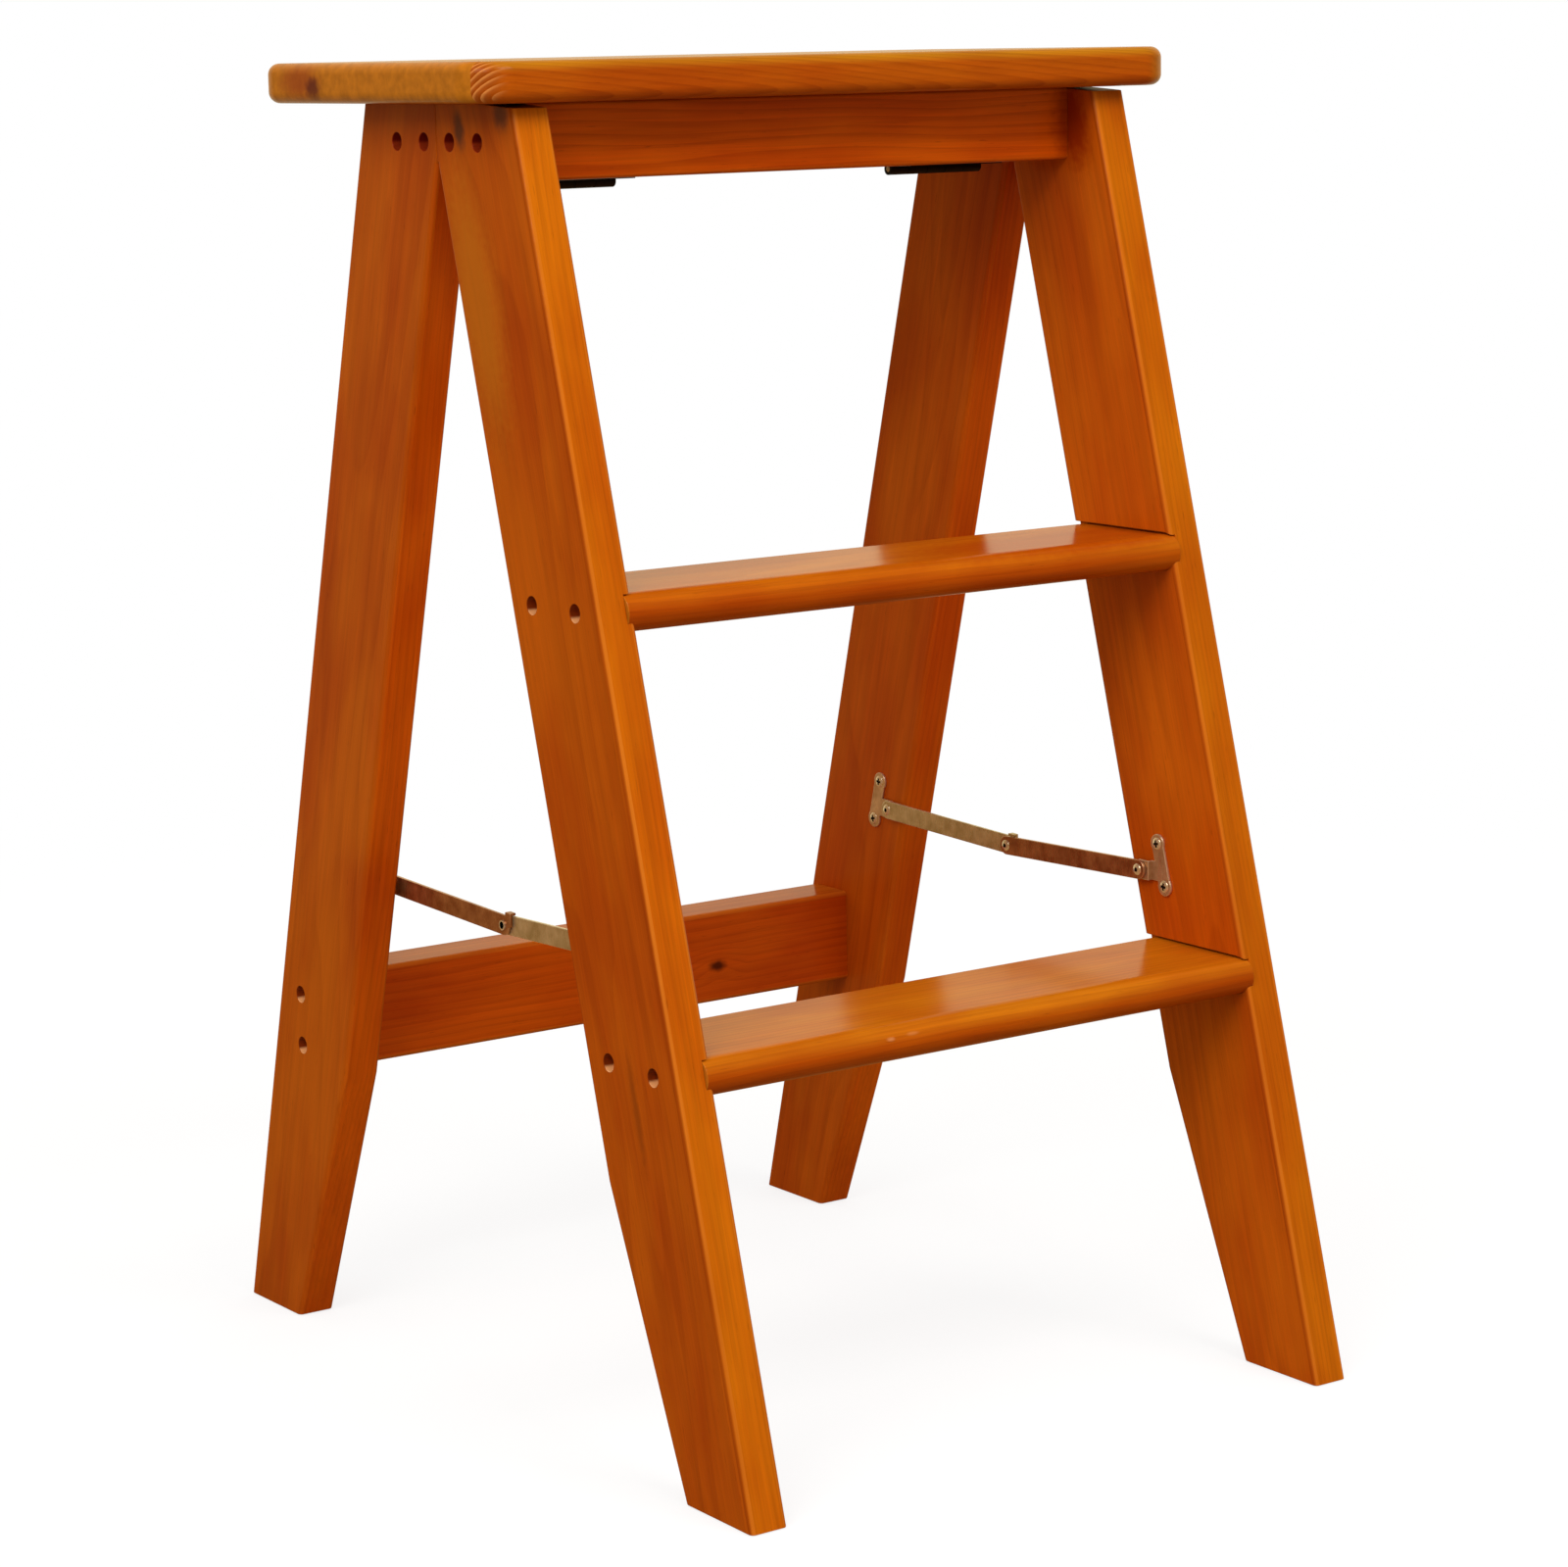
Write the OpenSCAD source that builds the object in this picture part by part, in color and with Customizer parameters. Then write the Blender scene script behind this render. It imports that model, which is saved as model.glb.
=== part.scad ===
// Folding step stool in lacquered pine.
// The front frame carries the seat board and two treads. The rear frame swings on two
// butt hinges under the top rails. A folding stay on each side holds the frames open.
// Millimetres. X runs along the treads, the front is -Y and Z is up. The origin is on the
// floor, midway between the four feet, straight below the joint between the two frames.

/* [Seat board] */
// Height of the sitting and standing surface above the floor
seat_height = 650; // [560:1:720]
// Length of the seat board along X
seat_length = 408; // [380:1:480]
// Depth of the seat board from front to back
seat_depth = 210; // [190:1:260]
// Thickness of the seat board
seat_thickness = 19; // [16:0.5:26]
// How far the seat board reaches in front of the joint between the frames
seat_front_reach = 80; // [74:1:100]
// Plan radius of the seat board's corners
seat_corner_radius = 20; // [12:1:34]
// Round on the seat board's upper and lower edges
seat_edge_radius = 5.5; // [1:0.5:7]

/* [Legs] */
// Width of the stool over the outer faces of the legs
stool_width = 358; // [310:1:372]
// Width of each leg board, square to its length
leg_width = 72; // [66:1:84]
// Thickness of each leg board
leg_thickness = 20; // [18:0.5:24]
// Lean of every leg from upright when the stool stands open
leg_lean = 15; // [12:0.5:17]
// Height of the upright faces where front and rear legs meet
leg_butt_height = 28.2; // [22:0.1:32]
// Air between the leg tops and the seat board
leg_top_gap = 0.3; // [0.2:0.1:1.5]
// How far the tops of the front legs fall away at their front edge
front_top_fall = 1.9; // [0.4:0.1:3]
// How much of a front leg's top falls away, measured along Y
front_top_fall_depth = 28; // [10:1:40]
// Height at which the inner edge of each leg starts to taper towards the foot
leg_taper_height = 140; // [90:1:170]
// Length of each foot along Y, at the floor
foot_length = 53.5; // [42:0.5:60]
// Air between the front and rear frames where they meet
joint_gap = 0.3; // [0.2:0.1:0.6]
// Round on the long arrises of all boards
arris_radius = 2.5; // [1:0.5:3.5]

/* [Rails and stretcher] */
// Depth of each top rail along Y
rail_depth = 48; // [42:1:54]
// Depth of the rear legs' stretcher along Y
stretcher_depth = 30; // [24:1:36]
// Height of the stretcher
stretcher_height = 50; // [40:1:60]
// Height of the stretcher's top face above the floor
stretcher_top = 188; // [150:1:230]
// Distance from the rear edge of the legs to the stretcher, at the stretcher's top
stretcher_setback = 3.5; // [2:0.5:8]
// Distance from the underside of the rails to the underside of the seat board
rail_height = 36; // [32:1:42]

/* [Treads] */
// Height of the upper tread's top face above the floor
upper_tread_top = 412; // [390:1:440]
// Height of the lower tread's top face above the floor
lower_tread_top = 206; // [180:1:215]
// Thickness of the treads
tread_thickness = 18; // [16:0.5:24]
// Depth of the treads from the rounded nose to the rear edge
tread_depth = 74; // [68:1:76]
// How far the nose stands in front of the leg at the tread's mid height
tread_nose_proud = 2; // [1:0.5:5]
// Depth of the housings cut into the legs for the treads
housing_depth = 4; // [3:0.5:6]
// Air above a tread inside its housing
housing_gap = 1; // [0.5:0.1:2]

/* [Assembly screws] */
// Diameter of the open counterbores in the outer faces of the legs
counterbore_diameter = 8.5; // [8:0.1:10]
// Depth of the counterbores
counterbore_depth = 6; // [4:0.5:8]
// Diameter of the screw heads
screw_head_diameter = 8; // [7:0.1:8]
// Diameter of the screw shanks
screw_diameter = 4.5; // [4:0.1:5]
// Length of the assembly screws under the head's top
screw_length = 45; // [38:1:55]
// Distance between the two screws in each rail end
rail_screw_pitch = 25; // [20:0.5:28]
// Distance between the two screws in each tread end
tread_screw_pitch = 37; // [28:0.5:42]
// Distance between the two screws in each stretcher end
stretcher_screw_pitch = 27; // [20:0.5:30]
// Distance between neighbouring screws that hold the seat board
seat_screw_pitch = 60; // [50:1:64]
// How far the seat screws reach into the seat board
seat_screw_bite = 12; // [9:0.5:13]

/* [Hinges] */
// Length of each hinge along X
hinge_length = 57; // [50:1:64]
// Distance from the middle of the stool to the middle of each hinge
hinge_offset = 110.5; // [106:0.5:118]
// Width of each hinge leaf, from the pin's axis to its free edge
hinge_leaf_width = 20; // [17:0.5:22]
// Thickness of the hinge leaves
hinge_leaf_thickness = 1.5; // [1.2:0.1:1.8]
// Outer diameter of the hinge knuckles
hinge_barrel_diameter = 6; // [5.5:0.1:6.6]
// Diameter of the hinge pins
hinge_pin_diameter = 3; // [2.5:0.1:3.2]
// Running clearance on radius between a pin and the rear leaf's knuckles
hinge_running_clearance = 0.05; // [0.02:0.01:0.1]
// Air between neighbouring knuckles
knuckle_gap = 0.3; // [0.2:0.1:0.5]
// Shank diameter of the hinge screws
hinge_screw_diameter = 3; // [2.8:0.1:3.2]
// Length of the hinge screws
hinge_screw_length = 16; // [12:1:20]

/* [Folding stays] */
// Height of the stays' end pivots above the floor
stay_height = 241; // [226:1:290]
// Distance along Y from a leg's inner edge to the pivot on it
stay_pivot_inset = 10.5; // [8:0.5:13]
// How far the middle rivet sags below the end pivots when locked
stay_sag = 3.5; // [2:0.5:4]
// Width of the stay links
link_width = 10; // [8.4:0.2:11]
// Thickness of the stay links
link_thickness = 1.6; // [1.2:0.1:2]
// Air between neighbouring plates of a stay
plate_gap = 0.1; // [0.08:0.01:0.12]
// Thickness of the stay brackets
bracket_thickness = 1.5; // [1.2:0.1:1.8]
// Distance between the two screws of a bracket
bracket_screw_pitch = 22; // [20:0.5:26]
// Width of the bar that the bracket's screws go through
bracket_bar_width = 9.8; // [8:0.1:10.4]
// Distance along Y from the bar's middle to the pivot
bracket_reach = 13; // [12:0.5:16]
// Height of the bar's middle above the pivot
bracket_rise = 3.5; // [0:0.5:5]
// Shank diameter of the bracket screws
bracket_screw_diameter = 3; // [2.5:0.1:3.4]
// Head diameter of the bracket screws
bracket_screw_head = 6.4; // [5.6:0.1:6.8]
// Length of the bracket screws under the head
bracket_screw_length = 12; // [9:0.5:14]
// Shank diameter of the rivets
rivet_diameter = 3.6; // [3:0.1:4]
// Head diameter of the rivets
rivet_head_diameter = 6; // [5.4:0.1:6.6]
// Running clearance on radius between a rivet and the link that turns on it
rivet_running_clearance = 0.05; // [0.02:0.01:0.1]

/* [Hidden] */

$fn = 48;
pine = "#B5590F";
pine_shade = "#A34C0C";
zinc = "#B9AE8A";
black_steel = "#241C18";
bright_steel = "#8F8A80";

// A small distance that lets cuts run past the faces they open.
past = 1;
// A wood screw's cross recess, as shares of the head's diameter and height.
recess_reach_share = 0.6;
recess_width_share = 0.125;
recess_depth_share = 0.8;
// A bracket screw's round recess, as a share of the head's diameter and height.
pan_recess_share = 1 / 3;
// The blunt end of a screw's tip, as a share of the shank's diameter.
tip_share = 1 / 6;
// Air on radius round a screw or a pin that its own hole holds still.
snug = 0.02;
left = -1;
right = 1;
front = -1;
rear = 1;

// Heights and places that the boards share.
seat_underside = seat_height - seat_thickness;
leg_top = seat_underside - leg_top_gap;
leg_apex = leg_top - leg_butt_height;
front_leg_corner = leg_top - front_top_fall;
rail_underside = seat_underside - rail_height;
inner_half_width = stool_width / 2 - leg_thickness;
leg_span = leg_width / cos(leg_lean);
butt_y = joint_gap / 2;

// Distance of a leg's inner and outer edges from the joint plane, at a height z.
function inner_edge(z) = butt_y + (leg_apex - z) * tan(leg_lean);
function outer_edge(z) = inner_edge(z) + leg_span;
function leg_middle(z) = inner_edge(z) + leg_span / 2;
// Where a tread's nose starts, as a place along Y
function nose_front(tread_top) = -outer_edge(tread_top - tread_thickness / 2) - tread_nose_proud;

foot_tip = outer_edge(0);
rail_middle_y = butt_y + rail_depth / 2;
rail_middle_z = rail_underside + rail_height / 2;
stretcher_back = outer_edge(stretcher_top) - stretcher_setback;
stretcher_middle_y = stretcher_back - stretcher_depth / 2;
stretcher_middle_z = stretcher_top - stretcher_height / 2;
upper_tread_middle = upper_tread_top - tread_thickness / 2;
lower_tread_middle = lower_tread_top - tread_thickness / 2;

// The hinge pins lie below the rails, so that the knuckles just touch the rails' undersides.
hinge_z = rail_underside - hinge_barrel_diameter / 2;
knuckle_count = 5;
knuckle_length = hinge_length / knuckle_count;
hinge_screw_count = 3;
hinge_screw_inset = 8;
hinge_screw_pitch = (hinge_length - 2 * hinge_screw_inset) / (hinge_screw_count - 1);
hinge_screw_y = hinge_barrel_diameter / 2 + (hinge_leaf_width - hinge_barrel_diameter / 2) / 2;

// Stay geometry. Offsets count from the inner face of a leg towards the middle of the stool.
stay_pivot_y = inner_edge(stay_height) + stay_pivot_inset;
stay_middle_z = stay_height - stay_sag;
link_length = norm([stay_pivot_y, stay_sag]);
link_tilt = atan(stay_sag / stay_pivot_y);
bracket_head_height = 0.9;
rear_link_offset = bracket_thickness + bracket_head_height + 2 * plate_gap;
rear_tab_offset = rear_link_offset - plate_gap - bracket_thickness;
front_link_offset = rear_link_offset + link_thickness + plate_gap;
front_tab_offset = front_link_offset - plate_gap - bracket_thickness;
link_stack_offset = front_link_offset + link_thickness;
rivet_head_height = 1;
rivet_tail_height = 0.8;
rivet_tail_diameter = 5;
// Sizes of the tab bent over from the rear link, and where it starts past the middle rivet.
stop_tab_thickness = 1.3;
stop_tab_length = 4.5;
stop_tab_start = 2;
// How far the bracket's bar is waisted on each side between its round ends.
bracket_waist = 0.6;

// Lay a shape drawn in (Y, Z) and extruded along X, starting at X = 0.
module along_x() {
    rotate([90, 0, 90]) children();
}

// A bar of length along X, middle at X = 0, whose cross-section is given in (Y, Z).
module bar_along_x(length) {
    translate([-length / 2, 0, 0])
        along_x()
            linear_extrude(length)
                children();
}

// A rectangle from (0, 0) to size whose four corners are rounded with true arcs.
module rounded_rectangle(size, r) {
    translate([r, 0]) square([size[0] - 2 * r, size[1]]);
    translate([0, r]) square([size[0], size[1] - 2 * r]);
    for (u = [r, size[0] - r], v = [r, size[1] - r])
        translate([u, v]) circle(r);
}

// The waste that rounds one arris of radius r along X, with the board at +Y and +Z.
module arris_waste(length, r) {
    along_x()
        linear_extrude(length)
            difference() {
                translate([-past, -past]) square(r + past);
                translate([r, r]) circle(r);
            }
}

// A wood screw along +X, its head's top at X = 0, with a cross recess and a pointed tip.
module wood_screw(diameter, head_diameter, length) {
    head_height = (head_diameter - diameter) / 2;
    tip_length = diameter;
    recess_reach = head_diameter * recess_reach_share;
    recess_width = head_diameter * recess_width_share;
    recess_depth = head_height * recess_depth_share;
    rotate([0, 90, 0])
        difference() {
            union() {
                cylinder(d1 = head_diameter, d2 = diameter, h = head_height);
                cylinder(d = diameter, h = length - tip_length);
                translate([0, 0, length - tip_length])
                    cylinder(d1 = diameter, d2 = diameter * tip_share, h = tip_length);
            }
            for (turn = [0, 90])
                rotate([0, 0, turn])
                    translate([-recess_reach / 2, -recess_width / 2, -past])
                        cube([recess_reach, recess_width, past + recess_depth]);
        }
}

// The hole that such a screw fills, with a countersink for its head.
module screw_hole(diameter, head_diameter, length) {
    head_height = (head_diameter - diameter) / 2;
    rotate([0, 90, 0]) {
        cylinder(d1 = head_diameter + 2 * snug, d2 = diameter + 2 * snug, h = head_height);
        cylinder(d = diameter + 2 * snug, h = length + snug);
    }
}

// Repeat an assembly screw or its hole on both sides of the stool, heads outwards.
module both_sides(places) {
    for (side = [left, right], place = places)
        translate([side * (stool_width / 2 - counterbore_depth), place[0], place[1]])
            rotate([0, 0, side == right ? 180 : 0])
                children();
}

module assembly_screws(places) {
    color(bright_steel)
        both_sides(places)
            wood_screw(screw_diameter, screw_head_diameter, screw_length);
}

// The counterbore, the countersink at its foot and the pilot hole of each assembly screw.
module assembly_holes(places) {
    both_sides(places) {
        screw_hole(screw_diameter, screw_head_diameter, screw_length);
        rotate([0, -90, 0])
            cylinder(d = counterbore_diameter, h = counterbore_depth + past);
    }
}

// Where the assembly screws enter, as (Y, Z) places.
function rail_screw_places(way) =
    [for (end = [-1, 1]) [way * (rail_middle_y + end * rail_screw_pitch / 2), rail_middle_z]];
function tread_screw_places(middle) =
    [for (end = [-1, 1]) [end * tread_screw_pitch / 2 - leg_middle(middle), middle]];
stretcher_screw_places =
    [for (end = [-1, 1]) [stretcher_middle_y, stretcher_middle_z + end * stretcher_screw_pitch / 2]];

// Where the seat screws and the hinge screws enter the rails from below.
seat_screw_spots = [for (step = [-1, 0, 1]) [step * seat_screw_pitch, -rail_middle_y]];
function hinge_screw_spots(way) = [
    for (side = [left, right], step = [0 : hinge_screw_count - 1])
        [side * hinge_offset - hinge_length / 2 + hinge_screw_inset + step * hinge_screw_pitch,
         way * hinge_screw_y]
];

// Seat board: a slab with round corners in plan and rounded upper and lower edges.
module seat_edge_profile(reach) {
    r = seat_edge_radius;
    square([reach - r, seat_thickness]);
    translate([0, r]) square([reach, seat_thickness - 2 * r]);
    for (v = [r, seat_thickness - r])
        translate([reach - r, v]) circle(r);
}

module seat_slab() {
    r = seat_corner_radius;
    long = seat_length - 2 * r;
    deep = seat_depth - 2 * r;
    translate([-long / 2, -deep / 2, 0]) cube([long, deep, seat_thickness]);
    for (flip = [0, 180])
        rotate([0, 0, flip]) {
            translate([-long / 2, deep / 2, 0])
                along_x() linear_extrude(long) seat_edge_profile(r);
            translate([long / 2, deep / 2, 0])
                rotate([90, 0, 0]) linear_extrude(deep) seat_edge_profile(r);
            translate([long / 2, deep / 2, 0])
                rotate_extrude(angle = 90) seat_edge_profile(r);
            translate([-long / 2, deep / 2, 0])
                rotate([0, 0, 90]) rotate_extrude(angle = 90) seat_edge_profile(r);
        }
}

module seat_board() {
    color(pine)
        difference() {
            translate([0, seat_depth / 2 - seat_front_reach, seat_underside]) seat_slab();
            seat_screw_holes();
        }
}

// The seat screws rise through the front rail from counterbores in its underside.
seat_screw_length = 38;
seat_screw_head_z = seat_underside + seat_screw_bite - seat_screw_length;

module at_seat_screws() {
    for (spot = seat_screw_spots)
        translate([spot[0], spot[1], seat_screw_head_z])
            rotate([0, -90, 0])
                children();
}

module seat_screw_holes() {
    at_seat_screws() {
        screw_hole(screw_diameter, screw_head_diameter, seat_screw_length);
        rotate([0, -90, 0])
            cylinder(d = counterbore_diameter, h = seat_screw_head_z - rail_underside + past);
    }
}

module seat_screws() {
    color(bright_steel)
        at_seat_screws() wood_screw(screw_diameter, screw_head_diameter, seat_screw_length);
}

// The rails' arrises are a little sharper than those of the other boards.
rail_arris_share = 0.8;

// Top rails: stout bars between the legs of each frame, butted face to face at the joint.
module top_rail(way) {
    translate([0, way == rear ? butt_y : -butt_y - rail_depth, rail_underside])
        bar_along_x(2 * inner_half_width)
            rounded_rectangle([rail_depth, rail_height], arris_radius * rail_arris_share);
}

module front_rail() {
    color(pine_shade)
        difference() {
            top_rail(front);
            assembly_holes(rail_screw_places(front));
            seat_screw_holes();
            hinge_screw_holes(front);
        }
}

module rear_rail() {
    color(pine_shade)
        difference() {
            top_rail(rear);
            assembly_holes(rail_screw_places(rear));
            hinge_screw_holes(rear);
        }
}

// Leg boards: the outline in (Y, Z) leans back from the upright butt face at the joint and
// tapers on its inner edge towards the foot. All four legs share it, but the front legs'
// tops fall away a little towards their front edges.
leg_sides = [
    [butt_y, leg_top],
    [butt_y, leg_apex],
    [inner_edge(leg_taper_height), leg_taper_height],
    [foot_tip - foot_length, 0],
    [foot_tip, 0]
];
function leg_outline(way) =
    way == rear
        ? concat(leg_sides, [[outer_edge(leg_top), leg_top]])
        : concat(leg_sides, [[outer_edge(front_leg_corner), front_leg_corner],
                             [outer_edge(leg_top) - front_top_fall_depth, leg_top]]);
// The outline's long edges, as numbers of the corners they start from.
leg_long_edges = [1, 2, 4];

module leg_arris_waste(outline) {
    for (edge = leg_long_edges, face = [0, 1]) {
        start = outline[edge];
        run = outline[edge + 1] - start;
        translate([face * leg_thickness, start[0], start[1]])
            mirror([face, 0, 0])
                rotate([atan2(run[1], run[0]), 0, 0])
                    rotate([0, 0, 90]) mirror([0, 1, 0])
                        translate([-past, 0, 0])
                            arris_waste(norm(run) + 2 * past, arris_radius);
    }
}

module leg_blank(outline) {
    difference() {
        along_x() linear_extrude(leg_thickness) polygon(outline);
        leg_arris_waste(outline);
    }
}

module leg(side, way) {
    start = side == left ? -stool_width / 2 : inner_half_width;
    translate([start, 0, 0])
        mirror([0, way == front ? 1 : 0, 0])
            leg_blank(leg_outline(way));
}

// The housing that takes a tread's end. It follows the nose in front, with the gap on top, and
// runs out at the leg's rear edge.
module tread_housing(side, tread_top) {
    half = tread_thickness / 2;
    translate([side * inner_half_width, nose_front(tread_top), tread_top - tread_thickness])
        bar_along_x(2 * housing_depth)
            union() {
                translate([half, half]) circle(half);
                translate([half, half + housing_gap]) circle(half);
                translate([0, half]) square([half, housing_gap]);
                translate([half, 0]) square([2 * leg_span, tread_thickness + housing_gap]);
            }
}

module front_leg(side) {
    color(pine)
        difference() {
            leg(side, front);
            tread_housing(side, upper_tread_top);
            tread_housing(side, lower_tread_top);
            assembly_holes(rail_screw_places(front));
            assembly_holes(tread_screw_places(upper_tread_middle));
            assembly_holes(tread_screw_places(lower_tread_middle));
            bracket_screw_holes(front);
        }
}

module rear_leg(side) {
    color(pine)
        difference() {
            leg(side, rear);
            assembly_holes(rail_screw_places(rear));
            assembly_holes(stretcher_screw_places);
            bracket_screw_holes(rear);
        }
}

// Treads: boards with a half-round nose that sit in the legs' housings.
module tread(tread_top) {
    middle = tread_top - tread_thickness / 2;
    half = tread_thickness / 2;
    back_r = min(arris_radius, half / 2);
    color(pine)
        difference() {
            translate([0, nose_front(tread_top), tread_top - tread_thickness])
                bar_along_x(2 * (inner_half_width + housing_depth))
                    union() {
                        translate([half, half]) circle(half);
                        translate([half, 0]) square([tread_depth / 2, tread_thickness]);
                        translate([tread_depth / 2, 0])
                            rounded_rectangle([tread_depth / 2, tread_thickness], back_r);
                    }
            assembly_holes(tread_screw_places(middle));
        }
}

// Stretcher between the rear legs.
module rear_stretcher() {
    color(pine_shade)
        difference() {
            translate([0, stretcher_back - stretcher_depth, stretcher_top - stretcher_height])
                bar_along_x(2 * inner_half_width)
                    rounded_rectangle([stretcher_depth, stretcher_height], arris_radius);
            assembly_holes(stretcher_screw_places);
        }
}

// Hinges: rolled steel leaves under the rails. The front leaf has the odd knuckles and
// holds the pin, and the rear leaf turns on it.
function knuckle_start(number) = -hinge_length / 2 + number * knuckle_length;

module knuckle_span(number, reach_y, low_z, high_z) {
    first = number == 0 ? 0 : knuckle_gap / 2;
    last = number == knuckle_count - 1 ? 0 : knuckle_gap / 2;
    translate([knuckle_start(number) + first, 0, low_z])
        cube([knuckle_length - first - last, reach_y, high_z - low_z]);
}

// A leaf as it lies at +Y, in the hinge's own frame with the pin's axis along X.
module hinge_leaf_blank(knuckles, bore) {
    barrel_r = hinge_barrel_diameter / 2;
    clear = barrel_r + knuckle_gap;
    difference() {
        union() {
            translate([-hinge_length / 2, clear, barrel_r - hinge_leaf_thickness])
                cube([hinge_length, hinge_leaf_width - clear, hinge_leaf_thickness]);
            for (number = knuckles) {
                knuckle_span(number, clear + past, barrel_r - hinge_leaf_thickness, barrel_r);
                intersection() {
                    translate([-hinge_length, 0, 0])
                        along_x() linear_extrude(2 * hinge_length) circle(barrel_r);
                    translate([0, -clear, 0]) knuckle_span(number, 2 * clear, -clear, clear);
                }
            }
        }
        translate([-hinge_length, 0, 0])
            along_x() linear_extrude(2 * hinge_length) circle(hinge_pin_diameter / 2 + bore);
    }
}

hinge_screw_head = 6;
hinge_screw_head_height = (hinge_screw_head - hinge_screw_diameter) / 2;

module at_hinge_screws(way) {
    for (spot = hinge_screw_spots(way))
        translate([spot[0], spot[1], rail_underside - hinge_leaf_thickness])
            rotate([0, -90, 0])
                children();
}

module hinge_screw_holes(way) {
    at_hinge_screws(way)
        screw_hole(hinge_screw_diameter, hinge_screw_head, hinge_screw_length);
}

module hinge_leaf(side, way) {
    color(black_steel)
        difference() {
            translate([side * hinge_offset, 0, hinge_z])
                mirror([0, way == front ? 1 : 0, 0])
                    hinge_leaf_blank(way == front ? [0, 2, 4] : [1, 3],
                                     way == front ? snug : hinge_running_clearance);
            hinge_screw_holes(way);
        }
}

module hinge_pins() {
    color(bright_steel)
        for (side = [left, right])
            translate([side * hinge_offset, 0, hinge_z])
                bar_along_x(hinge_length) circle(d = hinge_pin_diameter);
}

module hinge_screws(way) {
    color(black_steel)
        at_hinge_screws(way)
            wood_screw(hinge_screw_diameter, hinge_screw_head, hinge_screw_length);
}

// Stay brackets: a screwed bar that follows the leg, with a tab that is set off the leg
// by a bend and carries the pivot. The frame below has the pivot at its origin, +X into
// the stool from the leg's inner face and +Y from the pivot towards the bar.
bracket_ends = [for (end = [-1, 1])
    [bracket_reach - end * bracket_screw_pitch / 2 * sin(leg_lean),
     bracket_rise + end * bracket_screw_pitch / 2 * cos(leg_lean)]];

module plate(thickness, offset) {
    translate([offset, 0, 0]) along_x() linear_extrude(thickness) children();
}

module bracket_bar_shape() {
    for (end = bracket_ends)
        translate(end) circle(d = bracket_bar_width);
    translate([bracket_reach, bracket_rise])
        rotate(leg_lean)
            square([bracket_bar_width - 2 * bracket_waist, bracket_screw_pitch], center = true);
}

module bracket(tab_offset) {
    bend_start = link_width / 2 + plate_gap;
    bend_end = bend_start + bracket_thickness;
    difference() {
        union() {
            plate(bracket_thickness, 0) bracket_bar_shape();
            plate(bracket_thickness, 0)
                translate([bend_start, -link_width / 2])
                    square([bracket_reach - bend_start, link_width]);
            plate(tab_offset + bracket_thickness, 0)
                translate([bend_start, -link_width / 2])
                    square([bend_end - bend_start, link_width]);
            plate(bracket_thickness, tab_offset) {
                circle(d = link_width);
                translate([0, -link_width / 2]) square([bend_end, link_width]);
            }
        }
        plate(tab_offset + 2 * bracket_thickness, -past) circle(d = rivet_diameter + 2 * snug);
        for (end = bracket_ends)
            translate([0, end[0], end[1]])
                rotate([0, 90, 0])
                    cylinder(d = bracket_screw_diameter + 2 * snug, h = 2 * bracket_thickness);
    }
}

// Put a shape drawn in the pivot's frame on the leg at one side of one frame.
module on_leg(side, way) {
    translate([side * inner_half_width, way * stay_pivot_y, stay_height])
        mirror([side == right ? 1 : 0, 0, 0])
            mirror([0, way == front ? 1 : 0, 0])
                children();
}

module stay_bracket(side, way) {
    color(zinc)
        on_leg(side, way) bracket(way == front ? front_tab_offset : rear_tab_offset);
}

// A low dome along +X, such as a rivet's head, with its flat side at X = 0.
module dome(diameter, height) {
    ball = (pow(diameter / 2, 2) + pow(height, 2)) / (2 * height);
    rotate([0, 90, 0])
        rotate_extrude()
            intersection() {
                translate([0, height - ball]) circle(ball);
                square([diameter, height]);
            }
}

// Pan-headed bracket screws. The head is a low dome with a round recess.
module bracket_screw() {
    tip_length = bracket_screw_diameter;
    difference() {
        union() {
            rotate([0, -90, 0])
                cylinder(d = bracket_screw_diameter, h = bracket_screw_length - tip_length);
            translate([tip_length - bracket_screw_length, 0, 0])
                rotate([0, -90, 0])
                    cylinder(d1 = bracket_screw_diameter, d2 = bracket_screw_diameter * tip_share,
                             h = tip_length);
            dome(bracket_screw_head, bracket_head_height);
        }
        translate([bracket_head_height * pan_recess_share, 0, 0])
            rotate([0, 90, 0])
                cylinder(d = bracket_screw_head * pan_recess_share, h = bracket_head_height);
    }
}

module bracket_screws(way) {
    color(zinc)
        for (side = [left, right], end = bracket_ends)
            on_leg(side, way)
                translate([bracket_thickness, end[0], end[1]]) bracket_screw();
}

module bracket_screw_holes(way) {
    for (side = [left, right], end = bracket_ends)
        on_leg(side, way)
            translate([past, end[0], end[1]])
                rotate([0, -90, 0])
                    cylinder(d = bracket_screw_diameter + 2 * snug,
                             h = bracket_screw_length - bracket_thickness + past);
}

// A rivet along +X: its tail at tail_x, the underside of its domed head at head_x.
module rivet(tail_x, head_x, tail) {
    translate([tail_x, 0, 0])
        rotate([0, 90, 0]) cylinder(d = rivet_diameter, h = head_x - tail_x);
    if (tail)
        translate([tail_x - rivet_tail_height, 0, 0])
            rotate([0, 90, 0]) cylinder(d = rivet_tail_diameter, h = rivet_tail_height);
    translate([head_x, 0, 0]) dome(rivet_head_diameter, rivet_head_height);
}

module front_pivot_rivets() {
    color(zinc)
        for (side = [left, right])
            on_leg(side, front) rivet(front_tab_offset, link_stack_offset, true);
}

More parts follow.
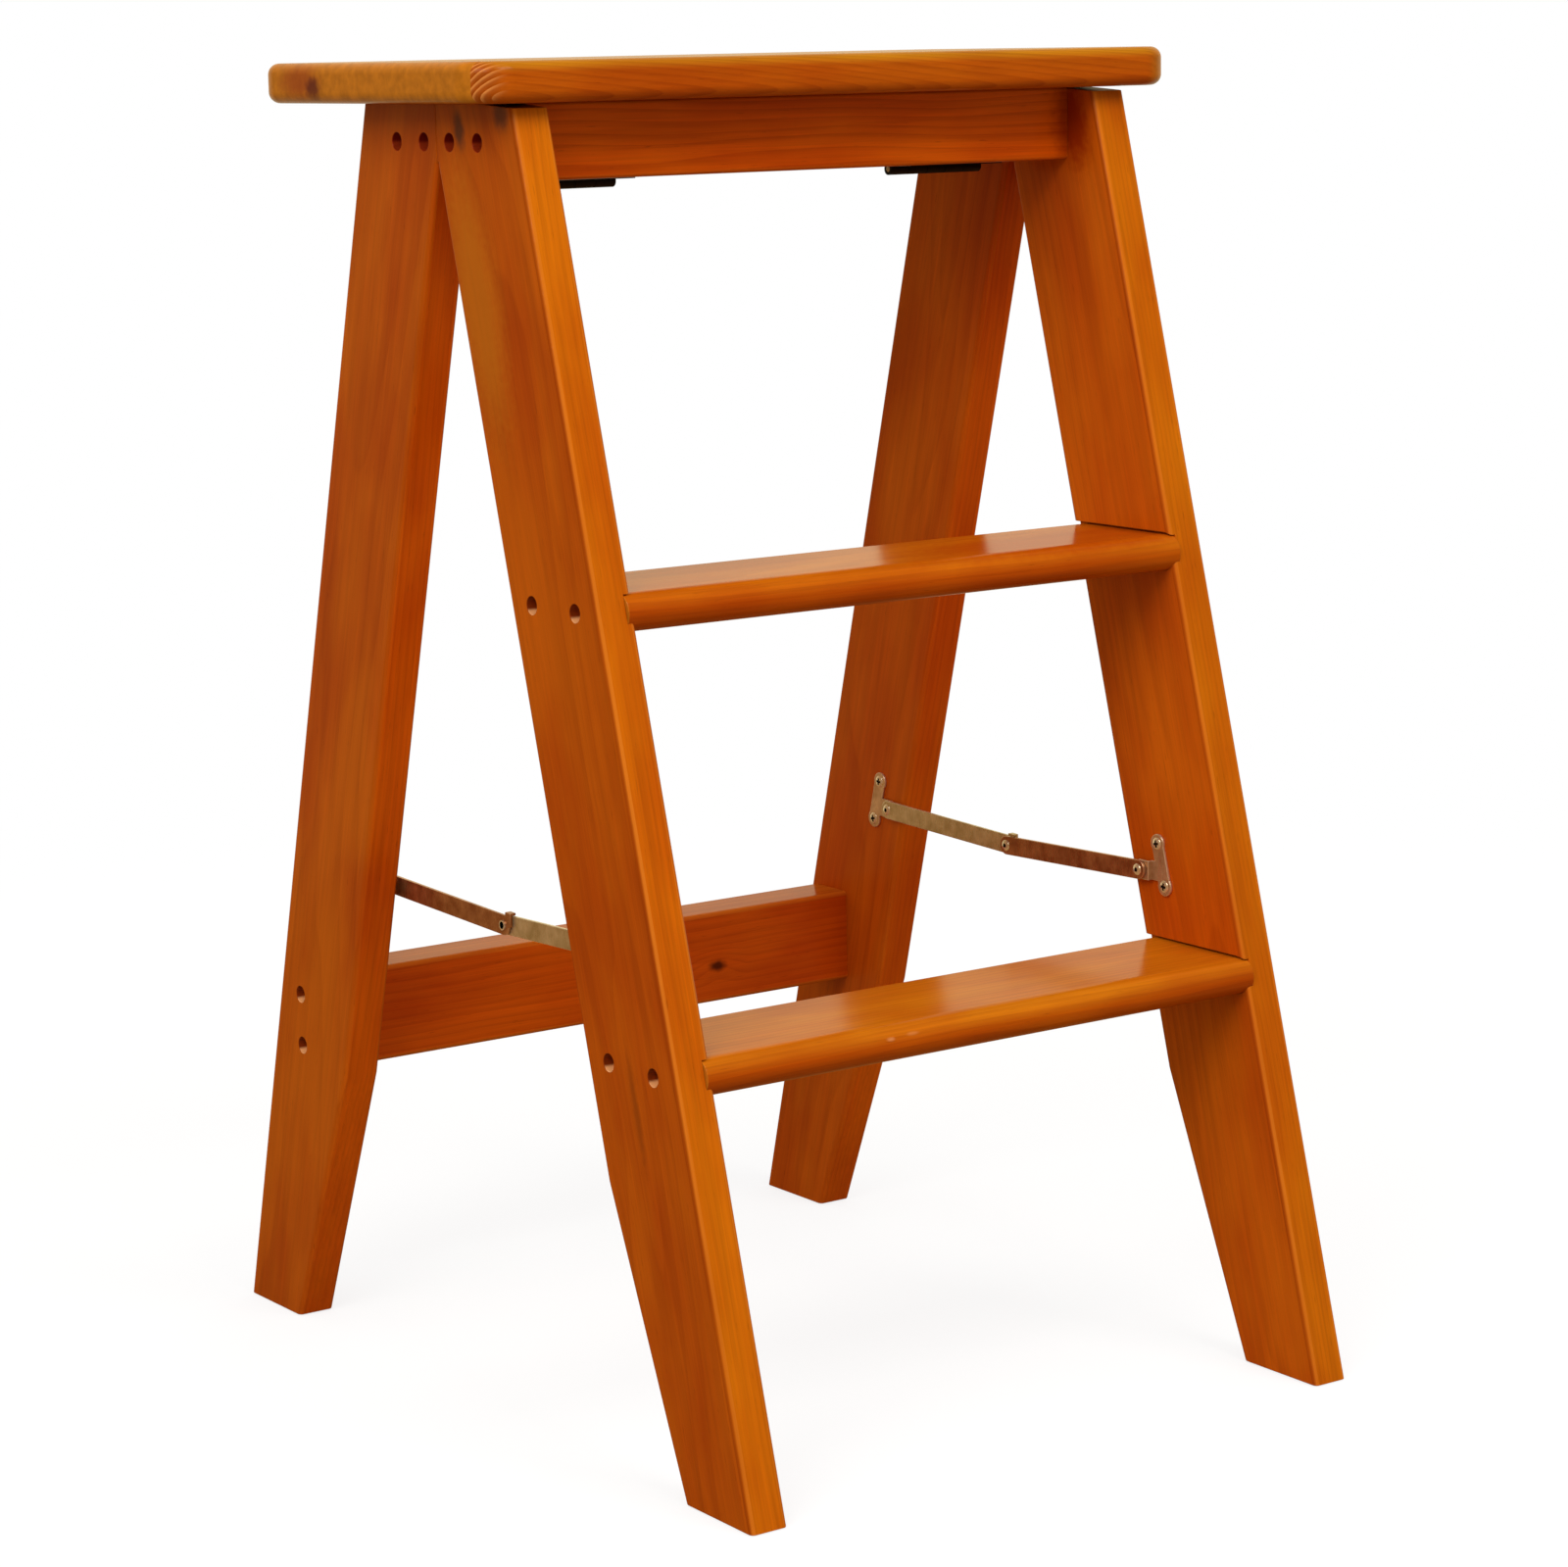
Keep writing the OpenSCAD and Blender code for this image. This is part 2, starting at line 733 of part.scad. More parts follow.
// The rear pivot's rivet is fast in the rear link and stops short of the bracket's tab,
// because this pivot is the one at which the linkage is opened.
module rear_pivot_rivet(side) {
    color(zinc)
        on_leg(side, rear)
            rivet(rear_link_offset, rear_link_offset + link_thickness, false);
}

// Put a shape at the middle rivet, with +X into the stool from the leg's inner face.
module at_middle_rivet(side) {
    translate([side * inner_half_width, 0, stay_middle_z])
        mirror([side == right ? 1 : 0, 0, 0])
            children();
}

module middle_rivet(side) {
    color(zinc)
        at_middle_rivet(side) rivet(rear_link_offset, link_stack_offset, true);
}

// Links: flat strips with round ends, drawn from the middle rivet along +Y.
module link_shape() {
    circle(d = link_width);
    translate([0, -link_width / 2]) square([link_length, link_width]);
    translate([link_length, 0]) circle(d = link_width);
}

module front_link(side) {
    color(zinc)
        at_middle_rivet(side)
            mirror([0, 1, 0])
                rotate([link_tilt, 0, 0])
                    difference() {
                        plate(link_thickness, front_link_offset) link_shape();
                        plate(3 * link_thickness, front_link_offset - link_thickness) {
                            circle(d = rivet_diameter + 2 * snug);
                            translate([link_length, 0])
                                circle(d = rivet_diameter + 2 * rivet_running_clearance);
                        }
                    }
}

// The rear link has an ear past the middle rivet. Its tab is bent over the front link's
// top edge, where it stops the stay from sagging further.
module rear_link(side) {
    stop_low = link_width / 2 + stop_tab_start * tan(2 * link_tilt) + plate_gap
               + stop_tab_length * tan(2 * link_tilt);
    ear_length = stop_tab_start + stop_tab_length;
    color(zinc)
        at_middle_rivet(side)
            rotate([link_tilt, 0, 0])
                difference() {
                    union() {
                        plate(link_thickness, rear_link_offset) {
                            link_shape();
                            translate([-ear_length, 0])
                                square([stop_tab_length, stop_low + stop_tab_thickness]);
                            translate([-ear_length, 0]) square([ear_length, link_width / 2]);
                        }
                        plate(link_stack_offset - rear_link_offset, rear_link_offset)
                            translate([-ear_length, stop_low])
                                square([stop_tab_length, stop_tab_thickness]);
                    }
                    plate(3 * link_thickness, rear_link_offset - link_thickness) {
                        circle(d = rivet_diameter + 2 * rivet_running_clearance);
                        translate([link_length, 0]) circle(d = rivet_diameter + 2 * snug);
                    }
                }
}

seat_board();
front_rail();
front_leg(left);  // front_leg_left
front_leg(right);  // front_leg_right
tread(upper_tread_top);  // upper_tread
tread(lower_tread_top);  // lower_tread
rear_rail();
rear_leg(left);  // rear_leg_left
rear_leg(right);  // rear_leg_right
rear_stretcher();
seat_screws();
assembly_screws(rail_screw_places(front));  // front_rail_screws
assembly_screws(tread_screw_places(upper_tread_middle));  // upper_tread_screws
assembly_screws(tread_screw_places(lower_tread_middle));  // lower_tread_screws
assembly_screws(rail_screw_places(rear));  // rear_rail_screws
assembly_screws(stretcher_screw_places);  // stretcher_screws
hinge_leaf(left, front);  // front_hinge_leaf_left
hinge_leaf(right, front);  // front_hinge_leaf_right
hinge_leaf(left, rear);  // rear_hinge_leaf_left
hinge_leaf(right, rear);  // rear_hinge_leaf_right
hinge_pins();
hinge_screws(front);  // front_hinge_screws
hinge_screws(rear);  // rear_hinge_screws
stay_bracket(left, front);  // front_stay_bracket_left
stay_bracket(right, front);  // front_stay_bracket_right
stay_bracket(left, rear);  // rear_stay_bracket_left
stay_bracket(right, rear);  // rear_stay_bracket_right
bracket_screws(front);  // front_bracket_screws
bracket_screws(rear);  // rear_bracket_screws
front_pivot_rivets();
front_link(left);  // front_link_left
front_link(right);  // front_link_right
rear_link(left);  // rear_link_left
rear_link(right);  // rear_link_right
middle_rivet(left);  // middle_rivet_left
middle_rivet(right);  // middle_rivet_right
rear_pivot_rivet(left);  // rear_pivot_rivet_left
rear_pivot_rivet(right);  // rear_pivot_rivet_right
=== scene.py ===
# Folding step stool in lacquered pine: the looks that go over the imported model.
# Two leaning frames of pine boards meet under a seat board. Steel hinges and folding stays
# join them. Everything is in metres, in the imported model's own frame.
import math

import bmesh
import bpy
from mathutils import Euler, Matrix, Vector


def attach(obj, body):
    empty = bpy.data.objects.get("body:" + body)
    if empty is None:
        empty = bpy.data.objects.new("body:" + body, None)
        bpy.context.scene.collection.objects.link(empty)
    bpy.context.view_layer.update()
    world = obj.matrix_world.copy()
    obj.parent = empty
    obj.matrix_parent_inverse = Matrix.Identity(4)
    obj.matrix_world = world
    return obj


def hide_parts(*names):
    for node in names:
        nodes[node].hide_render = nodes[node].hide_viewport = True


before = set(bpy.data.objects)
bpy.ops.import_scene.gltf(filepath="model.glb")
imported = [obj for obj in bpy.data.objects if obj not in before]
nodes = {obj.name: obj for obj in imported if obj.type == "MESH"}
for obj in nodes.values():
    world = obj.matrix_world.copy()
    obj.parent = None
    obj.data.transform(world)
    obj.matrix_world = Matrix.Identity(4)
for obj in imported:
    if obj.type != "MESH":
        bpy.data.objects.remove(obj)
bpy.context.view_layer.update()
MM = 0.001

# Seat board
# A pine board 19 mm thick, cut to length, with its corners rounded in plan and its edges
# run over with a router. It is stained honey cherry and sprayed with satin-gloss lacquer.


def linear(hex_colour):
    """An sRGB hex colour as the linear RGBA that Blender's sockets take."""
    channels = [int(hex_colour[i:i + 2], 16) / 255 for i in (1, 3, 5)]
    return [c / 12.92 if c <= 0.04045 else ((c + 0.055) / 1.055) ** 2.4 for c in channels] + [1]


def cleared_tree(owner):
    """The node tree of a new material or room, without its first nodes."""
    owner.use_nodes = True
    owner.node_tree.nodes.clear()
    return owner.node_tree


def link(tree, source, socket):
    """Link a node's first output in use, or an output, to a socket."""
    if isinstance(source, bpy.types.Node):
        source = next(output for output in source.outputs if output.enabled)
    tree.links.new(source, socket)


def add_node(tree, kind, sockets=(), **settings):
    """Add a node. Each socket gets a value, or a link where the value is a node or an output."""
    made = tree.nodes.new(kind)
    for name, value in settings.items():
        setattr(made, name, value)
    for socket, value in dict(sockets).items():
        if isinstance(value, (bpy.types.Node, bpy.types.NodeSocket)):
            link(tree, value, made.inputs[socket])
        else:
            made.inputs[socket].default_value = value
    return made


def new_object(name, data):
    """Put an object with this data in the scene."""
    made = bpy.data.objects.new(name, data)
    bpy.context.scene.collection.objects.link(made)
    return made


def new_piece(name, mesh, material, body, slot, *replaced):
    """Put a finished mesh in the scene as a piece that rides on a body."""
    piece = new_object(name, mesh)
    mesh.materials.clear()
    mesh.materials.append(material)
    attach(piece, body)
    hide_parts(*replaced)


# How near two corners of the CAD's loose triangles lie to be one, how near two corners of a
# finished mesh do, and how much two faces may turn to be one flat.
WELD = 0.05 * MM
NEAR = 0.002 * MM
FLAT = math.radians(0.4)
# Edges that turn more than the first are cut edges, which are eased. Surfaces that turn less
# than the second are shaded as one.
CUT_EDGE = math.radians(32)
SMOOTH_TURN = math.radians(50)
# A surface loses a round along its edges where it is this many times as wide.
ROOM_FOR_ROUND = 2.5
# Flat faces narrower than this are the rounds themselves.
ROUND_WIDTH = 0.7 * MM


def connected(faces, crossing):
    """Sort faces into groups that join over the edges that crossing allows."""
    left_over = set(faces)
    groups = []
    while left_over:
        group = [left_over.pop()]
        for face in group:
            for other in {f for e in face.edges if crossing(e) for f in e.link_faces}:
                if other in left_over:
                    left_over.remove(other)
                    group.append(other)
        groups.append(group)
    return groups


def roomy_edges(work, ease):
    """The outer edges between surfaces that are wide enough to lose a small round."""
    sharp = {e for e in work.edges if e.calc_face_angle() > CUT_EDGE}
    width = {}
    for group in connected(work.faces, lambda edge: edge not in sharp):
        area = sum(face.calc_area() for face in group)
        rim = sum(e.calc_length() for face in group for e in face.edges if e in sharp)
        width.update((face, 2 * area / rim if rim else math.inf) for face in group)
    return [e for e in work.edges if e in sharp and e.is_convex
            and all(width[face] > ROOM_FOR_ROUND * ease for face in e.link_faces)]


def eased_copy(node, ease, segments=2):
    """A welded copy of a CAD solid whose cut edges are eased by a small round.

    The attribute arris is 1 along rounded edges and 0 on flat faces, for sanding, a painted
    highlight and a painted shade there.
    """
    work = bmesh.new()
    work.from_mesh(nodes[node].data)
    bmesh.ops.remove_doubles(work, verts=work.verts, dist=WELD)
    bmesh.ops.dissolve_limit(work, angle_limit=FLAT, verts=work.verts, edges=work.edges)
    work.normal_update()
    bmesh.ops.bevel(work, geom=roomy_edges(work, ease), offset=ease, segments=segments,
                    profile=0.5, affect="EDGES", clamp_overlap=False)
    bmesh.ops.remove_doubles(work, verts=work.verts, dist=NEAR)
    work.normal_update()
    # Faces that lie in one plane count together, so that a thin sliver of a flat face keeps
    # the flat's direction.
    planes = {}
    for face in work.faces:
        level = round(face.normal.dot(face.verts[0].co) / (0.1 * MM))
        key = (*(round(c, 2) for c in face.normal), level)
        planes.setdefault(key, []).append(face)
    flat_area = {}
    for faces in planes.values():
        total = sum(face.calc_area() for face in faces)
        flat_area.update((face, total) for face in faces)
    narrow = {}
    for face in work.faces:
        longest = max(e.calc_length() for e in face.edges)
        narrow[face] = flat_area[face] / longest < ROUND_WIDTH
    arris = [float(all(narrow[face] for face in vert.link_faces)) for vert in work.verts]
    # Each corner takes the direction of the faces that run on smoothly round its point.
    direction = work.loops.layers.float_vector.new("direction")
    smooth = {e for e in work.edges if e.calc_face_angle() < SMOOTH_TURN}
    for vert in work.verts:
        for fan in connected(vert.link_faces, lambda edge: edge in smooth and vert in edge.verts):
            mean = sum((face.normal * flat_area[face] for face in fan), Vector()).normalized()
            for corner in (c for face in fan for c in face.loops if c.vert == vert):
                corner[direction] = mean
    bmesh.ops.triangulate(work, faces=[f for f in work.faces if len(f.verts) > 4])
    mesh = bpy.data.meshes.new(node + "_eased")
    work.to_mesh(mesh)
    work.free()
    mesh.polygons.foreach_set("use_smooth", [True] * len(mesh.polygons))
    normals = [tuple(corner.vector) for corner in mesh.attributes["direction"].data]
    mesh.attributes.remove(mesh.attributes["direction"])
    mesh.normals_split_custom_set(normals)
    mesh.attributes.new("arris", "FLOAT", "POINT").data.foreach_set("value", arris)
    return mesh


def wandering_radius(tree, along, seed):
    """Distance from the trunk's axis. It wanders a few millimetres over a hand's length."""
    slow = add_node(tree, "ShaderNodeVectorMath", {
        0: along, 1: (3.2, 17, 17)}, operation="MULTIPLY")
    wander = add_node(tree, "ShaderNodeTexNoise", {
        "Vector": slow, "W": seed, "Scale": 1, "Detail": 2, "Roughness": 0.45},
        noise_dimensions="4D").outputs["Color"]
    swing = add_node(tree, "ShaderNodeVectorMath", {
        0: wander, 1: (0, 0.020, 0.020), 2: (0, -0.010, -0.010)}, operation="MULTIPLY_ADD")
    flat = add_node(tree, "ShaderNodeVectorMath", {
        0: along, 1: (0, 1, 1), 2: swing}, operation="MULTIPLY_ADD")
    return add_node(tree, "ShaderNodeVectorMath", {0: flat}, operation="LENGTH")


def knots_stains_and_painted_shade(tree, place, along, turn, marks, radius):
    """Each mark, a knot, a stain or a painted shade, darkens the wood about it and pushes the
    rings aside.

    Returns a mask and a colour for each mark, and the radius with the rings pushed aside.
    """
    coats = []
    for centre, size, colour, strength, push in marks:
        away = add_node(tree, "ShaderNodeVectorMath", {
            0: place, 1: Vector(centre) * MM}, operation="SUBTRACT")
        scaled = add_node(tree, "ShaderNodeMapping", {"Vector": away, "Rotation": turn})
        scaled = add_node(tree, "ShaderNodeVectorMath", {
            0: scaled, 1: [1 / (s * MM) for s in size]}, operation="MULTIPLY")
        blur = add_node(tree, "ShaderNodeTexNoise", {"Vector": along, "Scale": 260, "Detail": 3})
        distance = add_node(tree, "ShaderNodeVectorMath", {0: scaled}, operation="LENGTH")
        rough_distance = add_node(tree, "ShaderNodeMath", {
            0: blur, 1: 0.6, 2: distance}, operation="MULTIPLY_ADD")
        mask = add_node(tree, "ShaderNodeMapRange", {
            "Value": rough_distance, "From Min": 1.6, "From Max": 0.6, "To Max": strength},
            interpolation_type="SMOOTHSTEP")
        coats.append((mask, linear(colour)))
        around = add_node(tree, "ShaderNodeMapRange", {
            "Value": distance, "From Min": 4.0, "From Max": 0.0, "To Max": push * MM},
            interpolation_type="SMOOTHSTEP")
        radius = add_node(tree, "ShaderNodeMath", {0: radius, 1: around})
    return coats, radius


def late_wood(tree, radius, ring):
    """Growth rings, from 0 in pale early wood to 1 in late wood, where each stops short.

    A year's width varies, so the rings are bunched and spread by a slow noise.
    """
    years = add_node(tree, "ShaderNodeMath", {0: radius, 1: ring * MM}, operation="DIVIDE")
    weather = add_node(tree, "ShaderNodeTexNoise", {
        "W": years, "Scale": 0.37, "Detail": 1}, noise_dimensions="1D")
    season = add_node(tree, "ShaderNodeMath", {
        0: weather, 1: 0.8, 2: years}, operation="MULTIPLY_ADD")
    fraction = add_node(tree, "ShaderNodeMath", {0: season}, operation="FRACT")
    ring_ramp = add_node(tree, "ShaderNodeValToRGB", {"Fac": fraction})
    ring_ramp.color_ramp.interpolation = "EASE"
    first, second = ring_ramp.color_ramp.elements
    first.color = (0, 0, 0, 1)
    second.position = 0.45
    second.color = (0.12, 0.12, 0.12, 1)
    for position, shade in ((0.82, 0.75), (0.93, 1.0), (1.0, 0.0)):
        ring_ramp.color_ramp.elements.new(position).color = (shade, shade, shade, 1)
    return ring_ramp


def end_grain(tree, facing, turn, radius, core, ring_dark, streak):
    """Cut ends dull to a brown yellow. Near the pith the ground is red and late wood is pale.

    Returns a mask of the ends and their colour.
    """
    grain_axis = turn.to_matrix().inverted() @ Vector((1, 0, 0))
    end = add_node(tree, "ShaderNodeVectorMath", {
        0: facing, 1: grain_axis}, operation="DOT_PRODUCT")
    end_size = add_node(tree, "ShaderNodeMath", {0: end}, operation="ABSOLUTE")
    mask = add_node(tree, "ShaderNodeMapRange", {
        "Value": end_size, "From Min": 0.06, "From Max": 0.6, "To Max": 0.94},
        interpolation_type="SMOOTHSTEP")
    near_pith = add_node(tree, "ShaderNodeMapRange", {
        "Value": radius, "From Min": (core + 8) * MM, "From Max": (core - 9) * MM},
        interpolation_type="SMOOTHSTEP")
    pale_ring = add_node(tree, "ShaderNodeMath", {
        0: near_pith, 1: ring_dark}, operation="MULTIPLY")
    ground = add_node(tree, "ShaderNodeMix", {
        0: near_pith, 6: linear("#BC6E18"), 7: linear("#9A4004")}, data_type="RGBA")
    level = add_node(tree, "ShaderNodeMapRange", {
        "Value": streak, "From Min": 0.3, "From Max": 0.7, "To Min": 0.84, "To Max": 1.16})
    ground = add_node(tree, "ShaderNodeVectorMath", {0: ground, "Scale": level}, operation="SCALE")
    return mask, add_node(tree, "ShaderNodeMix", {
        0: pale_ring, 6: ground, 7: linear("#DC8840")}, data_type="RGBA")


def arris_wear_and_light(tree, lean, broad_size, wear_and_light, streak):
    """Arrises are paler: the stain is sanded through a little, and a highlight is painted there.

    On the legs a painted shade lies in a dark line beside that, along the broad face. Returns a
    mask of the arrises and their colour.
    """
    rubbed_and_lit = linear("#E07C20")
    if lean is not None:
        painted_shade_line = add_node(tree, "ShaderNodeMapRange", {
            "Value": broad_size, "From Min": 0.55, "From Max": 0.85})
        rubbed_and_lit = add_node(tree, "ShaderNodeMix", {
            0: painted_shade_line, 6: rubbed_and_lit, 7: linear("#863004")}, data_type="RGBA")
    arris = add_node(tree, "ShaderNodeAttribute", attribute_name="arris").outputs["Fac"]
    rub_and_highlight = add_node(tree, "ShaderNodeMath", {0: arris, 1: streak}, operation="MULTIPLY")
    return add_node(tree, "ShaderNodeMath", {0: rub_and_highlight, 1: wear_and_light}, operation="MULTIPLY"), rubbed_and_lit


def bore_walls(tree, upward):
    """Counterbore walls: painted shade on the walls that face down, painted light on those that
    face up.

    The holes under the seat are painted dark red as the seat's shade. The others show raw wood at
    the bottom, where it is painted pale as lit. Returns a mask of the walls and their colour for
    both kinds of hole.
    """
    walls = []
    # The first colour is painted shade on walls that face down, the second painted light on walls
    # that face up.
    for attribute, upper, lower, start in (("painted_shade_bore", "#7A1608", "#AC3814", -0.2),
                                           ("raw_lit_bore", "#84300A", "#FFB070", 0.36)):
        painted_lit_wall = add_node(tree, "ShaderNodeMapRange", {
            "Value": upward, "From Min": start, "From Max": start + 0.4},
            interpolation_type="SMOOTHSTEP")
        inside = add_node(tree, "ShaderNodeAttribute", attribute_name=attribute).outputs["Fac"]
        walls.append((inside, add_node(tree, "ShaderNodeMix", {
            0: painted_lit_wall, 6: linear(upper), 7: linear(lower)}, data_type="RGBA")))
    return walls


# The grain's finer patterns. Each has its fineness per metre along and across the trunk, its
# detail, its roughness, and whether every kind of board has a seed of its own for it.
GRAIN = {
    # Fibres 0.4 mm wide and a few centimetres long, drawn that coarse so that they show.
    "fibre": ((22, 1300, 1300), 4, 0.6, False),
    # Streaks 3 mm wide, where the stain took unevenly along the grain.
    "streak": ((7, 210, 210), 3, 0.55, False),
    # Resin canals: thin dark dashes a few millimetres long.
    "canal": ((110, 1500, 1500), 1, 0.5, False),
    # Patches a few centimetres across, from the hand-wiped stain.
    "cloud": ((8, 22, 22), 3, 0.55, True),
}


def lacquered_pine(name, lean, pith, seed, face, edge, ring=3.2, late=0.2, worn_and_lit=None, marks=(),
                   staves=0, run_out=0.0, core=0, wear_and_light=0.3):
    """Stained pine under sprayed lacquer: warm wood with fine grain under a soft clear gloss.

    The wood is a block cut from a trunk.
    lean is how far the grain leans from upright in degrees, or None where it runs along X.
    pith is a point in millimetres on the trunk's axis, and ring is the growth rings' width.
    face and edge are the stain on the broad faces and on the sawn edges. late is how much
    darker the late wood of a ring is. The next pair is the colour that upward faces turn to,
    with its share: stain thinned by hands and feet, and painted light on the lit tops. Each
    mark is a knot, a stain or a painted shade: its place in millimetres, its size along, across
    and through the board, its colour, its strength and how far it pushes the rings aside.
    staves is the width of glued staves, or 0 for one board. run_out is how far the trunk's
    axis falls away from a board along X, in metres per metre. core is the radius in
    millimetres within which the late wood shows pale on the end grain. The last, up to 1, is
    how strongly the arrises show sanded wood with a painted highlight, and on the legs the
    painted shade beside it.
    """
    material = bpy.data.materials.new(name)
    tree = cleared_tree(material)
    turn = Euler((0, -run_out, run_out))
    if lean is not None:
        turn = Euler((math.radians(lean), math.pi / 2, 0))
    pith_shift = -(turn.to_matrix() @ (Vector(pith) * MM))
    place = add_node(tree, "ShaderNodeTexCoord").outputs["Object"]
    # Local X runs along the grain, and the trunk's axis is the line where Y and Z are 0.
    along = add_node(tree, "ShaderNodeMapping", {
        "Vector": place, "Location": pith_shift, "Rotation": turn})
    if staves:
        # Each stave comes from another place in a trunk, so its rings and noise are shifted.
        across = add_node(tree, "ShaderNodeSeparateXYZ", {0: place}).outputs[1]
        stave = add_node(tree, "ShaderNodeMath", {0: across, 1: staves * MM}, operation="DIVIDE")
        stave = add_node(tree, "ShaderNodeMath", {0: stave}, operation="FLOOR")
        stave = add_node(tree, "ShaderNodeMath", {0: stave, 1: FRONT_STAVE}, operation="SUBTRACT")
        along = add_node(tree, "ShaderNodeVectorMath", {
            0: stave, 1: STAVE_SHIFT, 2: along}, operation="MULTIPLY_ADD")

    radius = wandering_radius(tree, along, seed)
    mark_coats, radius = knots_stains_and_painted_shade(tree, place, along, turn, marks, radius)
    ring_dark = late_wood(tree, radius, ring)
    grain = {}
    for pattern, (fineness, detail, roughness, own_seed) in GRAIN.items():
        stretched = add_node(tree, "ShaderNodeVectorMath", {
            0: along, 1: fineness}, operation="MULTIPLY")
        noise = {"Vector": stretched, "Scale": 1, "Detail": detail, "Roughness": roughness}
        if own_seed:
            noise["W"] = seed + 9
        grain[pattern] = add_node(tree, "ShaderNodeTexNoise", noise,
                                  noise_dimensions="4D" if own_seed else "3D")
    fibre, streak, cloud = grain["fibre"], grain["streak"], grain["cloud"]
    canal = add_node(tree, "ShaderNodeMapRange", {
        "Value": grain["canal"], "From Min": 0.70, "From Max": 0.80})

    # Sawn edges take the stain lighter and yellower than the broad faces do.
    facing = add_node(tree, "ShaderNodeNewGeometry").outputs["Normal"]
    broad_axis = (0, 0, 1) if lean is None else (1, 0, 0)
    broad = add_node(tree, "ShaderNodeVectorMath", {
        0: facing, 1: broad_axis}, operation="DOT_PRODUCT")
    broad_size = add_node(tree, "ShaderNodeMath", {0: broad}, operation="ABSOLUTE")
    early = add_node(tree, "ShaderNodeMix", {
        0: broad_size, 6: linear(edge), 7: linear(face)}, data_type="RGBA")
    upward = add_node(tree, "ShaderNodeSeparateXYZ", {0: facing}).outputs[2]
    if worn_and_lit:
        # What faces up is painted yellower: hands and feet have thinned the stain there, and it
        # stands in for the light on the lit tops.
        worn_lit_colour, worn_lit_share = worn_and_lit
        worn_lit_mask = add_node(tree, "ShaderNodeMapRange", {
            "Value": upward, "From Min": -0.1, "From Max": 0.8, "To Max": worn_lit_share},
            interpolation_type="SMOOTHSTEP")
        early = add_node(tree, "ShaderNodeMix", {
            0: worn_lit_mask, 6: early, 7: linear(worn_lit_colour)}, data_type="RGBA")
    dark = add_node(tree, "ShaderNodeVectorMath", {
        0: early, 1: (0.50, 0.32, 0.3)}, operation="MULTIPLY")
    ring_share = add_node(tree, "ShaderNodeMath", {0: ring_dark, 1: late}, operation="MULTIPLY")
    colour = add_node(tree, "ShaderNodeMix", {0: ring_share, 6: early, 7: dark}, data_type="RGBA")

    # Grain along the board: fibres, streaks and resin canals scale the colour up and down.
    for pattern, low, high, least, most in ((fibre, 0.25, 0.75, 0.90, 1.10),
                                            (streak, 0.3, 0.7, 0.93, 1.07),
                                            (canal, 0.0, 1.0, 1.0, 0.74)):
        level = add_node(tree, "ShaderNodeMapRange", {
            "Value": pattern, "From Min": low, "From Max": high, "To Min": least, "To Max": most})
        colour = add_node(tree, "ShaderNodeVectorMath", {
            0: colour, "Scale": level}, operation="SCALE")
    # The clouds turn the stain between red brown and honey.
    honey = add_node(tree, "ShaderNodeMapRange", {
        "Value": cloud, "From Min": 0.32, "From Max": 0.68}, interpolation_type="SMOOTHSTEP")
    cloud_tint = add_node(tree, "ShaderNodeMix", {
        0: honey, 6: (0.88, 0.74, 0.74, 1), 7: (1.10, 1.28, 1.25, 1)}, data_type="RGBA")
    colour = add_node(tree, "ShaderNodeVectorMath", {
        0: colour, 1: cloud_tint}, operation="MULTIPLY")
    if staves:
        stave_tone = add_node(tree, "ShaderNodeTexWhiteNoise", {
            "W": stave}, noise_dimensions="1D")
        stave_tone = add_node(tree, "ShaderNodeMapRange", {
            "Value": stave_tone, "To Min": 0.95, "To Max": 1.05})
        colour = add_node(tree, "ShaderNodeVectorMath", {
            0: colour, "Scale": stave_tone}, operation="SCALE")

    # What covers the ground colour, from the lowest to the uppermost.
    for mask, coat in (end_grain(tree, facing, turn, radius, core, ring_dark, streak),
                       *mark_coats, arris_wear_and_light(tree, lean, broad_size, wear_and_light, streak),
                       *bore_walls(tree, upward)):
        colour = add_node(tree, "ShaderNodeMix", {0: mask, 6: colour, 7: coat}, data_type="RGBA")

    # The lacquer fills the grain, so only a trace of it is felt.
    grain_height = add_node(tree, "ShaderNodeMath", {
        0: fibre, 1: 0.6, 2: canal}, operation="MULTIPLY_ADD")
    bump = add_node(tree, "ShaderNodeBump", {
        "Height": grain_height, "Strength": 0.10, "Distance": 0.0002})
    sag_noise = add_node(tree, "ShaderNodeTexNoise", {"Vector": place, "Scale": 95, "Detail": 1})
    coat_bump = add_node(tree, "ShaderNodeBump", {
        "Height": sag_noise, "Strength": 0.06, "Distance": 0.0006})
    roughness = add_node(tree, "ShaderNodeMapRange", {
        "Value": streak, "From Min": 0.3, "From Max": 0.7, "To Min": 0.42, "To Max": 0.54})
    shader = add_node(tree, "ShaderNodeBsdfPrincipled", {
        "Base Color": colour, "Roughness": roughness, "Normal": bump,
        "Coat Normal": coat_bump, "IOR": 1.5, "Specular IOR Level": 0.0,
        "Coat Weight": 0.72, "Coat Roughness": 0.17, "Coat IOR": 1.2})
    add_node(tree, "ShaderNodeOutputMaterial", {"Surface": shader})
    return material


def pine_board(node, body, pine, ease=0.3 * MM):
    """Dress a board's solid in its own pine, with its cut edges eased. Returns the mesh."""
    mesh = eased_copy(node, ease)
    new_piece(node + "_pine", mesh, pine, body, "lacquered_pine", node)
    return mesh


# The seat is glued up from staves 70 mm wide. The one along the front edge holds the pith.
SEAT_STAVE = 70
FRONT_STAVE = -2
STAVE_SHIFT = (0.31, 0.083, -0.047)
